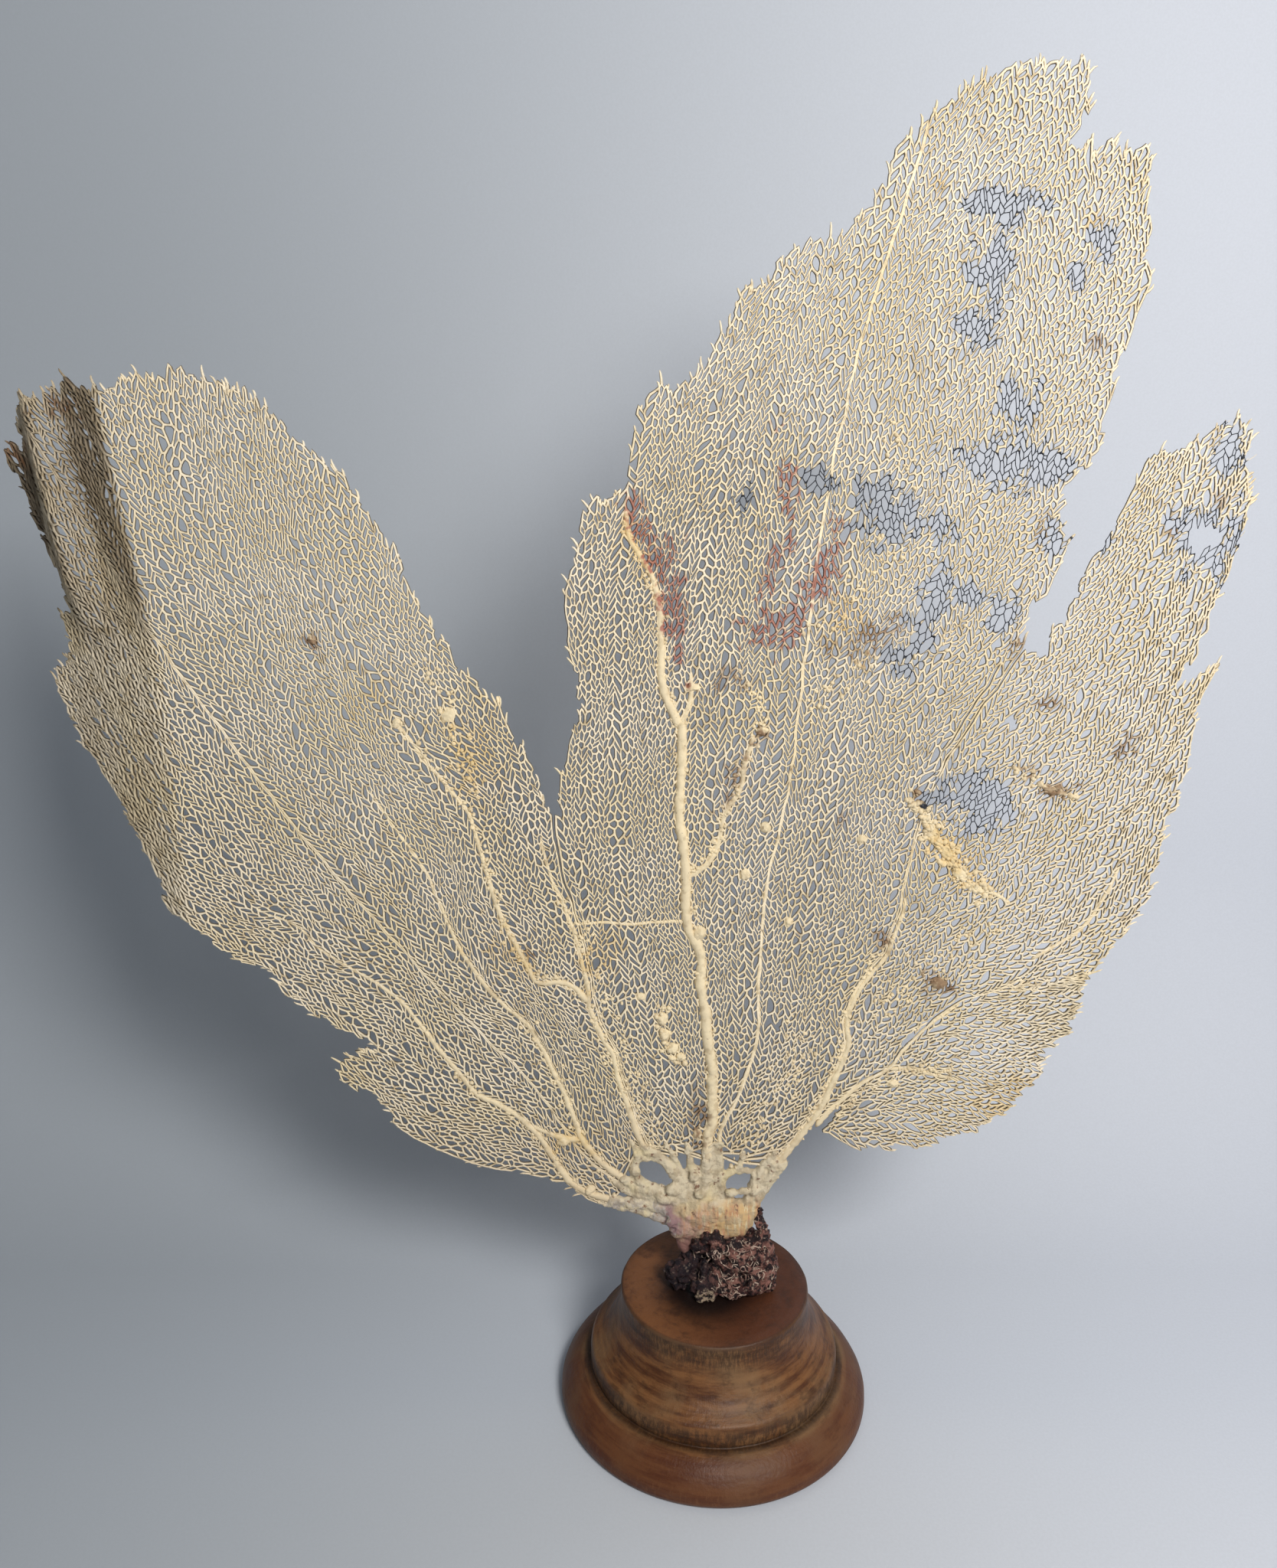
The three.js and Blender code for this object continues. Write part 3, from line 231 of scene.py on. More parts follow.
# Raised ribs: a guide's number and the stretch of it, or a line of their own, and the end radii, mm
RIBS = {
    "left": [
        {"guide": 2, "span": (3, 205), "radii": (1.6, 0.4)},
        {"guide": 4, "span": (3, 205), "radii": (1.6, 0.4)},
        {"guide": 6, "span": (3, 150), "radii": (1.5, 0.6)},
        {"line": [(-51.5, 182.5), (-56.5, 189), (-63, 192), (-71, 192), (-75, 199), (-80, 210),
                  (-84, 219), (-88, 232.5), (-91, 246), (-95, 261), (-101, 270), (-109, 280),
                  (-120, 296)], "radii": (1.3, 0.6)},
        {"line": [(-55, 121.5), (-63, 122.5), (-70, 125), (-74.5, 128)], "radii": (1.3, 1.1)},
    ],
    "centre": [
        {"guide": 9, "span": (2, 190), "radii": (2.4, 1.9)},
        {"line": [(-16.5, 293), (-20, 300), (-23.5, 311), (-23.7, 322), (-24.3, 335), (-26.5, 347),
                  (-32, 356.5), (-35.7, 364), (-36.4, 373)], "radii": (1.8, 0.9)},
        {"line": [(-16.5, 293), (-13, 303), (-12.9, 314)], "radii": (1.3, 0.8)},
        {"guide": 11, "span": (2, 180), "radii": (1.0, 0.35)},
        {"line": [(-13.5, 234), (-6, 239), (-2, 247), (1, 261), (6, 268), (8, 280), (11, 290)],
         "radii": (1.1, 1.0)},
        {"line": [(-57, 215.8), (-46, 216.4), (-34, 215.6), (-22, 216.2), (-14, 216)],
         "radii": (0.6, 0.7)},
    ],
    "right": [
        {"guide": 14, "span": (2, 135), "radii": (1.8, 0.7)},
        {"line": [(97, 231), (104, 229), (110, 225)], "radii": (0.9, 0.7)},
        {"line": [(120, 202), (130, 209), (138, 215), (145, 227), (150, 240)], "radii": (0.8, 0.6)},
    ],
    "lower_right": [
        {"guide": 17, "span": (28, 110), "radii": (1.2, 0.5)},
        {"line": [(68, 153.5), (76, 153.6), (86, 151), (97, 148.5)], "radii": (1.0, 0.6)},
    ],
}

# Encrusting lumps: middle on the sheet, half length, half width and height, turn in degrees
LUMPS = {
    "left": [
        ((-101, 299), (3.4, 2.4, 1.2), 40), ((-149, 326), (2.2, 1.5, 1.3), 120),
        ((-31, 185), (2, 1.6, 1.4), 0), ((-62, 121), (3.4, 2.2, 2.0), 20),
        ((-120, 296), (2.4, 1.6, 1.2), 60), ((-52, 98), (3, 2, 2), 30),
    ],
    "centre": [
        ((-8.5, 211), (3.4, 2.6, 2.4), 60), ((13.6, 291.4), (2.2, 1.9, 1.5), 0),
        ((-22.5, 175), (2.2, 2.6, 2), 0), ((-21.6, 168.5), (2.4, 2.8, 2.2), 0),
        ((-18.5, 162.5), (2.6, 2.2, 2), 40), ((-15, 158.8), (2, 1.8, 1.8), 0),
        ((8.8, 235), (2, 2.4, 1.6), 0), ((26, 216), (1.8, 2, 1.4), 0), ((16, 254), (2, 2.2, 1.6), 0),
        ((52.5, 250), (2, 2, 1.5), 0), ((-8, 124), (1.8, 2.6, 2), 0), ((-12, 308), (3, 1.4, 1.4), 0),
    ],
    "right": [
        ((73.8, 263.5), (2.4, 1.8, 1.3), -50), ((78, 254), (3.4, 2.2, 1.4), -60),
        ((84, 246), (3.8, 2.4, 1.5), -50), ((89.5, 237.5), (3.4, 2.4, 1.4), -40),
        ((96, 231.5), (3.0, 1.8, 1.2), -35), ((122, 270), (3, 1.5, 1.1), 10),
        ((85, 191.7), (3.2, 2.6, 1.6), 0),
    ],
    "lower_right": [((70, 147), (2.4, 1.8, 1.6), 0)],
}

# Crumbs of crust along a line: the line, how far they stray from it, how many, least and largest radius
CRUMBS = {
    "left": [
        ([(-36, 98), (-48, 108), (-57, 126), (-64, 148), (-76, 174)], 3.0, 90, 0.4, 0.9),
        ([(-40, 93), (-58, 100), (-72, 122), (-90, 139), (-104, 152)], 3.0, 80, 0.4, 0.9),
        ([(-25, 117), (-34, 130), (-40, 150), (-50, 178), (-54, 205), (-62, 228)], 3.0, 130, 0.4, 0.9),
        ([(-52, 184), (-63, 192), (-75, 199), (-84, 219), (-95, 261), (-120, 296)], 2.4, 150, 0.4, 0.9),
        ([(-92, 268), (-101, 299), (-112, 322)], 5.0, 60, 0.4, 1.0),
    ],
    "centre": [
        ([(-4, 112), (-2, 135), (-5, 172), (-9, 206), (-15, 247), (-16, 290)], 2.2, 300, 0.35, 0.95),
        ([(-16, 292), (-23, 312), (-25, 338), (-36, 365)], 2.6, 110, 0.4, 0.9),
        ([(-24, 118), (-30, 138), (-38, 162), (-46, 190), (-52, 216)], 5.0, 130, 0.35, 0.8),
        ([(-23, 180), (-21, 168), (-16, 156)], 3.0, 40, 0.5, 1.3),
        ([(-13, 236), (-4, 244), (2, 262), (9, 284), (14, 300), (4, 312)], 2.6, 110, 0.4, 0.9),
        ([(8, 110), (18, 128), (28, 150), (36, 178)], 8.0, 130, 0.35, 0.8),
        ([(30, 330), (52, 345), (60, 372), (58, 398)], 7.0, 70, 0.4, 0.9),
        ([(30, 300), (60, 322), (84, 330)], 6.0, 50, 0.4, 1.0),
    ],
    "right": [
        ([(71, 268), (78, 254), (85, 245), (92, 235), (100, 230)], 5.0, 260, 0.4, 1.2),
        ([(26, 114), (38, 132), (48, 160), (52, 185), (66, 212)], 2.4, 110, 0.35, 0.9),
        ([(108, 278), (122, 270), (130, 268)], 3.0, 40, 0.5, 1.2),
        ([(60, 180), (80, 196), (104, 215)], 9.0, 90, 0.35, 0.8),
    ],
    "lower_right": [([(47, 133), (62, 146), (75, 154), (92, 152)], 2.6, 70, 0.35, 0.9)],
}

# Places on the sheet where the net looks different: middle, radii, turn in degrees
PATCHES = {
    "bare": [
        ((86, 469), (10, 5), 0), ((84, 449), (5, 7), 0), ((82, 432), (5, 6), 0), ((97, 407), (7, 6), 0),
        ((92, 389), (13, 7), 0), ((108, 386), (9, 5), 0), ((55, 372), (8, 10), 0),
        ((33, 381), (4.6, 4.6), 0), ((75, 366), (4, 4.6), 0), ((72, 337), (5, 14), -18),
        ((84, 342), (5, 3.4), 0), ((97, 335), (4, 6), 0), ((62, 319), (5, 5.4), 0),
        ((5, 375), (2, 4.6), 0), ((92, 266), (12.4, 9), -15), ((120, 457), (4.6, 4.6), 0),
        ((112, 447), (3, 3.4), 0), ((168, 362), (10.6, 9.6), 0), ((171, 392), (5, 6), 0),
        ((131, 361), (2, 2), 0), ((113, 363), (3.4, 3.4), 0),
    ],
    "purple": [
        ((-19.5, 342), (4, 16), 6), ((17, 331), (8, 7), 0), ((24, 334), (8, 5), 30),
        ((33, 348), (4, 13), -20), ((15, 349), (3, 10), 0), ((21, 372), (2.6, 16), 8),
        ((-17, 321), (2.2, 3.5), 0), ((-27, 359), (4, 9), 25), ((-34, 373), (3, 5), 20),
    ],
    "brown": [
        ((1.5, 311), (7, 3.4), 10), ((13.6, 291.4), (3.6, 3.6), 0), ((54, 327), (14, 5), 15),
        ((103, 401), (2.5, 2), 0), ((123.6, 425.7), (3.4, 2.6), 0), ((103, 325), (3, 4.4), 0),
        ((111.7, 276.7), (3.4, 4.4), 0), ((121.7, 270), (6, 3.4), 0), ((148, 286.7), (4.4, 3.4), 0),
        ((171, 375), (3.4, 4.4), 0), ((155, 365), (3.4, 4.4), 0), ((85, 191.7), (5.4, 5.4), 0),
        ((62.5, 210), (4, 5), 0), ((30.6, 212.5), (2.4, 2.4), 0), ((43.8, 257), (2.4, 2.4), 0),
        ((-73, 205), (4, 3), 0), ((-148.8, 325.6), (3.4, 3.4), 0), ((109, 363.6), (2.4, 4.4), 0),
        ((4, 273), (3, 12), -22), ((-8, 132), (3, 12), 0), ((-262, 390), (9, 5), 0),
        ((116, 303), (5, 3), 0), ((-236, 405), (7, 5), 0), ((72, 268), (3, 2.4), 0),
    ],
    "orange": [
        ((-80, 203), (11, 9), 0), ((-46, 203), (7, 10), 0), ((-130, 306), (9, 4), 35),
        ((65.7, 476), (4, 3), 0), ((115.7, 463.6), (4, 3), 0), ((86, 246), (13, 8), -50),
        ((-58, 120), (8, 5), 0), ((44, 330), (9, 8), 0), ((-33, 360), (6, 12), 20),
        ((-92, 282), (10, 14), 20), ((118, 140), (12, 8), 0),
    ],
}

# Left fold of the fan: distance left of the crease, and how far back the sheet lies there, mm.
# Low down it is one slope, higher up a step, a ledge and a second step.
LOW_FOLD = [(0, 0), (16, 10), (46, 30), (62, 37)]
HIGH_FOLD = [(0, 0), (16, 10.5), (33, 14.5), (37, 22), (44, 29), (62, 37)]
FOLD_CHANGE = (318, 350)     # heights between which the low fold turns into the high one
CREASE_HEIGHTS = (290, 440)  # heights between which the crease moves left
CREASE_PLACES = (-205, -218)


def smooth_step(low, high, value):
    """A soft step from 0 at low to 1 at high."""
    share = np.clip((np.asarray(value, float) - low) / (high - low), 0, 1)
    return share * share * (3 - 2 * share)


def speckle(x, z, size, seed=0.0):
    """Smooth noise from -1 to 1 over the sheet, with features of about that size in millimetres."""
    return noise.noise(Vector((x / size, z / size, seed)))


def inside(polygon, point):
    """True if the point lies in the polygon."""
    x, z = point
    found = False
    x0, z0 = polygon[-1]
    for x1, z1 in polygon:
        if (z1 > z) != (z0 > z) and x < (x0 - x1) * (z - z1) / (z0 - z1) + x1:
            found = not found
        x0, z0 = x1, z1
    return found


def evenly(line, count_at):
    """Evenly spaced points along a line. Their number comes from the line's length."""
    travelled = np.concatenate([[0], np.cumsum(np.linalg.norm(np.diff(line, axis=0), axis=1))])
    at = np.linspace(0, travelled[-1], count_at(travelled[-1]))
    return np.stack([np.interp(at, travelled, line[:, axis]) for axis in (0, 1)], axis=1)


def to_the_left(line):
    """At each point of a line, the direction to the left of its course."""
    along = np.gradient(line, axis=0)
    along /= np.linalg.norm(along, axis=1)[:, None]
    return np.stack([-along[:, 1], along[:, 0]], axis=1)


def spline(points, step=1.0):
    """A smooth curve through the points, as evenly spaced points."""
    points = np.array(points, float)
    ends = np.vstack([2 * points[0] - points[1], points, 2 * points[-1] - points[-2]])
    fine = []
    for a, b, c, d in zip(ends, ends[1:], ends[2:], ends[3:]):
        for share in np.linspace(0, 1, 12, endpoint=False):
            fine.append(0.5 * (2 * b + (c - a) * share + (2 * a - 5 * b + 4 * c - d) * share ** 2
                               + (3 * b - a - 3 * c + d) * share ** 3))
    return evenly(np.array(fine + [points[-1]]), lambda length: max(2, int(round(length / step)) + 1))


def guide_rows():
    """Every growth line at each millimetre from the trunk, run on straight past its end."""
    rows = []
    for points in GUIDES:
        line = spline(points)
        ahead = line[-1] - line[-6]
        ahead = ahead / np.linalg.norm(ahead)
        beyond = np.arange(1, REACH + 2)[:, None] * ahead + line[-1]
        rows.append(np.vstack([line, beyond])[:REACH + 1])
    return [row.tolist() for row in rows]


FLOW = guide_rows()


def flow(t, distance):
    """Place on the sheet between the growth lines, at a distance from the trunk."""
    i = min(max(math.floor(t), 0), len(FLOW) - 2)
    k = min(int(distance), REACH - 1)
    across, along = t - i, distance - k
    (ax, az), (bx, bz) = FLOW[i][k], FLOW[i][k + 1]
    (cx, cz), (dx, dz) = FLOW[i + 1][k], FLOW[i + 1][k + 1]
    x = (1 - across) * ((1 - along) * ax + along * bx) + across * ((1 - along) * cx + along * dx)
    z = (1 - across) * ((1 - along) * az + along * bz) + across * ((1 - along) * cz + along * dz)
    return x, z


def sheet_depth(x, z):
    """How far back the fan lies behind the plane of its trunk, in millimetres."""
    x, z = np.asarray(x, float), np.asarray(z, float)
    low_place, high_place = CREASE_PLACES
    crease = low_place + (high_place - low_place) * smooth_step(*CREASE_HEIGHTS, z)
    low, high = (sum(np.interp(crease - x + shift, *zip(*fold)) for shift in (-2, 0, 2)) / 3
                 for fold in (LOW_FOLD, HIGH_FOLD))
    fold = low + (high - low) * smooth_step(*FOLD_CHANGE, z)
    wave = 3 * np.sin((x + 45) / 34) * smooth_step(140, 240, z) * smooth_step(-215, -150, x)
    curl = 9 * smooth_step(105, 145, x) * (1 - smooth_step(150, 200, z))
    return fold + wave + curl


def bend(flat, lift):
    """Places of points in metres: flat is (x, z) on the sheet and lift the height in front of it, mm."""
    flat, lift = np.asarray(flat, float), np.asarray(lift, float)
    x, z = flat[:, 0], flat[:, 1]
    slope_x = (sheet_depth(x + 1, z) - sheet_depth(x - 1, z)) / 2
    slope_z = (sheet_depth(x, z + 1) - sheet_depth(x, z - 1)) / 2
    normal = np.stack([-slope_x, np.ones(len(x)), -slope_z], axis=1)
    normal /= np.linalg.norm(normal, axis=1)[:, None]
    place = np.stack([x, sheet_depth(x, z), z], axis=1) - normal * lift[:, None]
    return place * MM


def patch_values(kind, flat):
    """How strongly points belong to the patches of one kind, from 0 to 1, with a ragged edge."""
    x, z = np.asarray(flat, float).T
    value = np.full(len(x), -1.0)
    for (px, pz), (rx, rz), turn in PATCHES[kind]:
        angle = math.radians(turn)
        along = ((x - px) * math.cos(angle) + (z - pz) * math.sin(angle)) / rx
        across = ((z - pz) * math.cos(angle) - (x - px) * math.sin(angle)) / rz
        value = np.maximum(value, 1.4 - np.hypot(along, across))
    for i in np.flatnonzero(value > -1):
        value[i] += 1.2 * speckle(x[i], z[i], 5.5, 3.3) + 1.1 * speckle(x[i], z[i], 1.8, 8.1)
    return np.clip(value, 0, 1)


def strand_halves(flat):
    """Half width of the net's strands at places on the sheet, in millimetres.

    It varies from place to place, swells by half near the trunk, and shrinks in bare patches."""
    bare = smooth_step(0.05, 0.45, patch_values("bare", flat))
    full = np.array([STRAND_HALF * (1 + 0.25 * speckle(x, z, 2.6) + 0.15 * speckle(x, z, 24.0, 5.0)
                                    + 0.5 * math.exp(-math.hypot(x, z - 100) / 35)) for x, z in flat])
    return full + (BARE_HALF - full) * bare


def moved(points, distance):
    """A line moved sideways, to the left of its direction."""
    line = np.array(points, float)
    return [tuple(p) for p in line + distance * to_the_left(line)]


def ragged(margin):
    """A margin with the toothed edge of a torn net."""
    line = evenly(np.array(margin, float), lambda length: int(length / TOOTH_STEP))
    shift = np.array([2.4 * speckle(x, z, 5.5, 11.0) + 1.8 * speckle(x, z, 2.6, 12.0) for x, z in line])
    return [tuple(p) for p in line + shift[:, None] * to_the_left(line)]


def blade_outlines():
    """The outline of each blade. It reaches past the seams, where the first and last strands end it."""
    past = 4.0        # mm, as far as those strands lie from the seams at most
    past_low = 1.0    # mm, along the seam below the right blade
    crown_left = TRUNK_CROWN[:CROWN_LEFT_SEAM + 1]
    crown_middle = TRUNK_CROWN[CROWN_LEFT_SEAM:CROWN_RIGHT_SEAM + 1]
    return {
        "left": ragged(LEFT_MARGIN) + moved(LEFT_SEAM, -past)[::-1] + crown_left[::-1][1:-1],
        "centre": moved(LEFT_SEAM, past) + ragged(CENTRE_MARGIN) + moved(RIGHT_SEAM, -past)[::-1]
        + crown_middle[::-1][1:-1],
        "right": moved(RIGHT_SEAM, past) + ragged(RIGHT_MARGIN) + moved(LOWER_SEAM, -past_low)[::-1]
        + ARM_MARGIN[::-1],
        "lower_right": moved(LOWER_SEAM, past_low) + ragged(LOWER_RIGHT_MARGIN),
    }


OUTLINES = blade_outlines()


class Strand:
    """One growth line of the net: its place t between the guides, and its joints by distance."""

    def __init__(self, t):
        self.t = t
        self.joints = {}

    def clear(self, distance):
        """A distance close to the given one that keeps clear of the joints already there."""
        for other in self.joints:
            if abs(distance - other) < LINK_CLEARANCE:
                distance = other + math.copysign(LINK_CLEARANCE, distance - other)
        return distance


class Net:
    """The fine net of one blade, grown strand by strand and then closed into rounded openings."""

    def __init__(self, outline, tears):
        self.outline = outline
        self.tears = tears
        self.points = []
        self.cells = []
        self.edge_points = {}

    def joint(self, strand, distance, lean):
        """A joint of a cross link with a strand, drawn a little towards the link."""
        x, z = flow(strand.t, distance)
        sx, sz = flow(strand.t + 0.01 * lean, distance)
        reach = math.hypot(sx - x, sz - z) or 1.0
        wander_x, wander_z = speckle(x, z, 8.0, 1.0), speckle(x, z, 8.0, 2.0)
        x += (sx - x) / reach * LINK_PULL + WANDER * wander_x
        z += (sz - z) / reach * LINK_PULL + WANDER * wander_z
        self.points.append((x, z))
        strand.joints[distance] = len(self.points) - 1
        return len(self.points) - 1

    def reach(self, t):
        """Largest distance at which the blade still covers a growth line."""
        for distance in range(REACH - 1, 0, -3):
            if inside(self.outline, flow(t, distance)):
                return distance
        return 0

    def open(self, left, right, begin, lean):
        """Starts cells between two strands at the first place where they are far enough apart."""
        while strand_gap(left.t, right.t, begin) < OPENING_GAP:
            begin += 1.0
            if begin > REACH:
                return
        a, b = left.clear(begin), right.clear(begin)
        self.joint(left, a, 1)
        self.joint(right, b, -1)
        self.grow(left, right, (a, b), lean)

    def stretch(self, left, right, begin, furthest):
        """Where the cells between two strands end, and whether the strands part too far there."""
        limit = SPLIT_GAP * random_of.uniform(*SPLIT_SPREAD)
        end = begin + 1.5
        while end < furthest and CLOSING_GAP < strand_gap(left.t, right.t, end) < limit:
            end += 0.75
        return end, strand_gap(left.t, right.t, end) >= limit

    def grow(self, left, right, start, lean):
        """Lays cells between two strands until they part too far, then starts a strand between them."""
        furthest = self.reach((left.t + right.t) / 2) + 6
        if start[0] > furthest:
            return
        at = (start[0] + start[1]) / 2
        end, wide = self.stretch(left, right, at, furthest)
        below, last = start, False
        while not last:
            gap = strand_gap(left.t, right.t, at)
            share = NARROW_SHARE if gap < NARROW_GAP else 1.0
            at += CELL_LENGTH * random_of.uniform(*CELL_SPREAD) * share
            last = at > end - LAST_CELL * CELL_LENGTH
            at = end if last else at
            side = lean if random_of.random() < SAME_LEAN else -lean
            slant = side * random_of.uniform(*LINK_SLANT) * min(gap, 4.0)
            a = max(left.clear(at - slant), below[0] + LINK_CLEARANCE)
            b = max(right.clear(at + slant), below[1] + LINK_CLEARANCE)
            self.joint(left, a, 1)
            self.joint(right, b, -1)
            between = []
            if last and wide:
                split = Strand(left.t + (right.t - left.t) * random_of.uniform(*SPLIT_PLACE))
                between = [self.joint(split, (a + b) / 2, random_of.choice((-1, 1)))]
            self.cells.append((left, right, below, (a, b), between))
            below = (a, b)
        if wide:
            centre = (a + b) / 2
            self.grow(left, split, (a, centre), -1)
            self.grow(split, right, (centre, b), 1)
        elif end < furthest:
            self.open(left, right, end + 1, lean)

    def start(self, t_values):
        """Grows the net between neighbouring first strands."""
        strands = [Strand(t) for t in t_values]
        for left, right in zip(strands, strands[1:]):
            self.open(left, right, 2.0, random_of.choice((-1, 1)))

    def along(self, strand, low, high):
        """Joints of a strand between two distances, both included, in order."""
        return [strand.joints[d] for d in sorted(strand.joints) if low <= d <= high]

    def edge(self, a, b):
        """Points on the way from joint a to joint b, without the two joints."""
        key = (min(a, b), max(a, b))
        if key not in self.edge_points:
            (ax, az), (bx, bz) = self.points[key[0]], self.points[key[1]]
            length = math.hypot(bx - ax, bz - az)
            count = sum(length >= least for least in EDGE_BREAKS)
            row = []
            for k in range(1, count + 1):
                share = k / (count + 1)
                x, z = ax + (bx - ax) * share, az + (bz - az) * share
                bow = EDGE_BOW * speckle(x, z, 2.0, 9.0)
                self.points.append((x - (bz - az) / length * bow, z + (bx - ax) / length * bow))
                row.append(len(self.points) - 1)
            self.edge_points[key] = row
        row = self.edge_points[key]
        return row if a < b else row[::-1]

    def loops(self):
        """The joints round every cell that lies on the blade, in order."""
        loops = []
        for left, right, below, above, between in self.cells:
            up = self.along(left, below[0], above[0])
            down = self.along(right, below[1], above[1])[::-1]
            loop = up + between + down
            places = [self.points[i] for i in loop]
            centre = (sum(x for x, _ in places) / len(places), sum(z for _, z in places) / len(places))
            if inside(self.outline, centre) and not any(inside(tear, centre) for tear in self.tears):
                loops.append(loop)
        return loops

    def relax(self, loops, share=0.3):
        """Draws every joint inside the net towards its neighbours, which rounds the cells."""
        sides = {(a, b) for loop in loops for a, b in zip(loop, loop[1:] + loop[:1])}
        fixed = {i for a, b in sides if (b, a) not in sides for i in (a, b)}
        neighbours = {}
        for a, b in sorted(sides):
            neighbours.setdefault(a, []).append(b)
        drawn = {}
        for i, others in neighbours.items():
            if i not in fixed:
                (x, z), count = self.points[i], len(others)
                mean_x = sum(self.points[k][0] for k in others) / count
                mean_z = sum(self.points[k][1] for k in others) / count
                drawn[i] = (x + (mean_x - x) * share, z + (mean_z - z) * share)
        for i, place in drawn.items():
            self.points[i] = place

    def rings(self):
        """The boundary of every cell, as point numbers, clockwise."""
        loops = self.loops()
        self.relax(loops)
        rings = []
        for loop in loops:
            ring = []
            for a, b in zip(loop, loop[1:] + loop[:1]):
                if a != b:
                    ring += [a] + self.edge(a, b)
            rings.append(ring)
        return rings


def strand_gap(t0, t1, distance):
    """Distance between two strands on the flat sheet, in millimetres."""
    return math.dist(flow(t0, distance), flow(t1, distance))


def ring_area(ring):
    """Area within a ring, positive if it runs clockwise."""
    x, z = ring[:, 0], ring[:, 1]
    return -0.5 * np.sum(x * np.roll(z, -1) - np.roll(x, -1) * z)


def inward(ring, widths):
    """The ring drawn in by the strand's half width at each point, with its corners rounded.

    None where hardly any opening is left."""
    ahead = np.roll(ring, -1, axis=0) - ring
    sides = np.linalg.norm(ahead, axis=1)
    widths = np.minimum(widths, WIDEST_STRAND * abs(ring_area(ring)) / sides.sum())
    ahead /= np.maximum(sides, 1e-6)[:, None]
    along = ahead + np.roll(ahead, 1, axis=0)
    aim = np.stack([along[:, 1], -along[:, 0]], axis=1)
    size = np.maximum(np.linalg.norm(aim, axis=1), SHARPEST_CORNER)
    shift = aim / size[:, None] ** 2 * 2 * widths[:, None]
    room = np.linalg.norm(ring.mean(axis=0) - ring, axis=1)
    reach = np.maximum(np.linalg.norm(shift, axis=1), 1e-6)
    shift *= np.minimum(1, DEEPEST_CORNER * room / reach)[:, None]
    loop = ring + shift
    soft = SOFT_CORNERS * np.minimum(1, widths / STRAND_HALF)[:, None]
    rounded = loop + soft * (0.5 * np.roll(loop, 1, axis=0) + 0.5 * np.roll(loop, -1, axis=0) - loop)
    return rounded if len(ring) > 3 and ring_area(rounded) > SMALLEST_HOLE else None


class Mesh:
    """Vertices and faces as they are made: flat places, heights in front of the sheet, and shade.

    Shade is 0 along the crest of a strand and 1 on its sides; the net's material paints shade by it."""

    def __init__(self):
        self.flat, self.lift, self.shade, self.faces = [], [], [], []

    def pair(self, place, height, shade):
        """A vertex in front of the sheet and one behind it. Returns their numbers."""
        self.flat += [tuple(place), tuple(place)]
        self.lift += [height, -height]
        self.shade += [shade, shade]
        return len(self.flat) - 2, len(self.flat) - 1

    def middle(self, place, shade):
        """A vertex halfway through the sheet. Returns its number."""
        self.flat.append(tuple(place))
        self.lift.append(0.0)
        self.shade.append(shade)
        return len(self.flat) - 1

    def add(self, flat, lift, faces, shade=0.0):
        """Adds a separate part."""
        first = len(self.flat)
        self.flat += flat
        self.lift += lift
        self.shade += [shade] * len(flat)
        self.faces += [tuple(i + first for i in face) for face in faces]


def net_mesh(net):
    """The mesh of a net: round every opening, its strands slope from their crests to their sides."""
    rings = net.rings()
    mesh = Mesh()
    half = strand_halves(net.points)
    depth = np.minimum(STRAND_HALF_DEPTH * half / STRAND_HALF, DEEPEST_STRAND)
    crests = {}

    def crest(i):
        if i not in crests:
            crests[i] = mesh.pair(net.points[i], depth[i], 0.0)
        return crests[i]

    used = set()
    for ring in rings:
        used.update(zip(ring, ring[1:] + ring[:1]))
        places = np.array([net.points[i] for i in ring])
        pairs = [crest(i) for i in ring]
        loop = inward(places, half[ring])
        if loop is None:
            # Painted shade: the middle of a filled cell gets full shade, so its skin looks like a dark pit
            skin = FILLED_DEPTH * float(depth[ring].mean())
            fill_cell(mesh, pairs, *mesh.pair(places.mean(axis=0), skin, 1.0))
        else:
            slope_in(mesh, pairs, [mesh.middle(place, 1.0) for place in loop])
    add_rim(net, used, crests, half, mesh)
    return mesh


def fill_cell(mesh, pairs, top, bottom):
    """Closes a cell in front and behind by a thin skin from the crests round it to its middle."""
    for (front, back), (next_front, next_back) in zip(pairs, pairs[1:] + pairs[:1]):
        mesh.faces.append((next_front, front, top))
        mesh.faces.append((back, next_back, bottom))


def slope_in(mesh, pairs, inner):
    """Slopes the strands round a cell from their crests in front and behind to its opening."""
    for k, (front, back) in enumerate(pairs):
        beside = (k + 1) % len(pairs)
        next_front, next_back = pairs[beside]
        mesh.faces.append((next_front, front, inner[k], inner[beside]))
        mesh.faces.append((inner[beside], inner[k], back, next_back))


def tube_faces(rings, sides, first=0):
    """The faces of a closed tube whose vertices follow ring by ring, from the first one's number."""
    faces = []
    for start in range(first, first + (rings - 1) * sides, sides):
        for side in range(sides):
            a, b = start + side, start + (side + 1) % sides
            faces.append((a, b, b + sides, a + sides))
    faces.append(tuple(range(first, first + sides))[::-1])
    faces.append(tuple(range(first + (rings - 1) * sides, first + rings * sides)))
    return faces


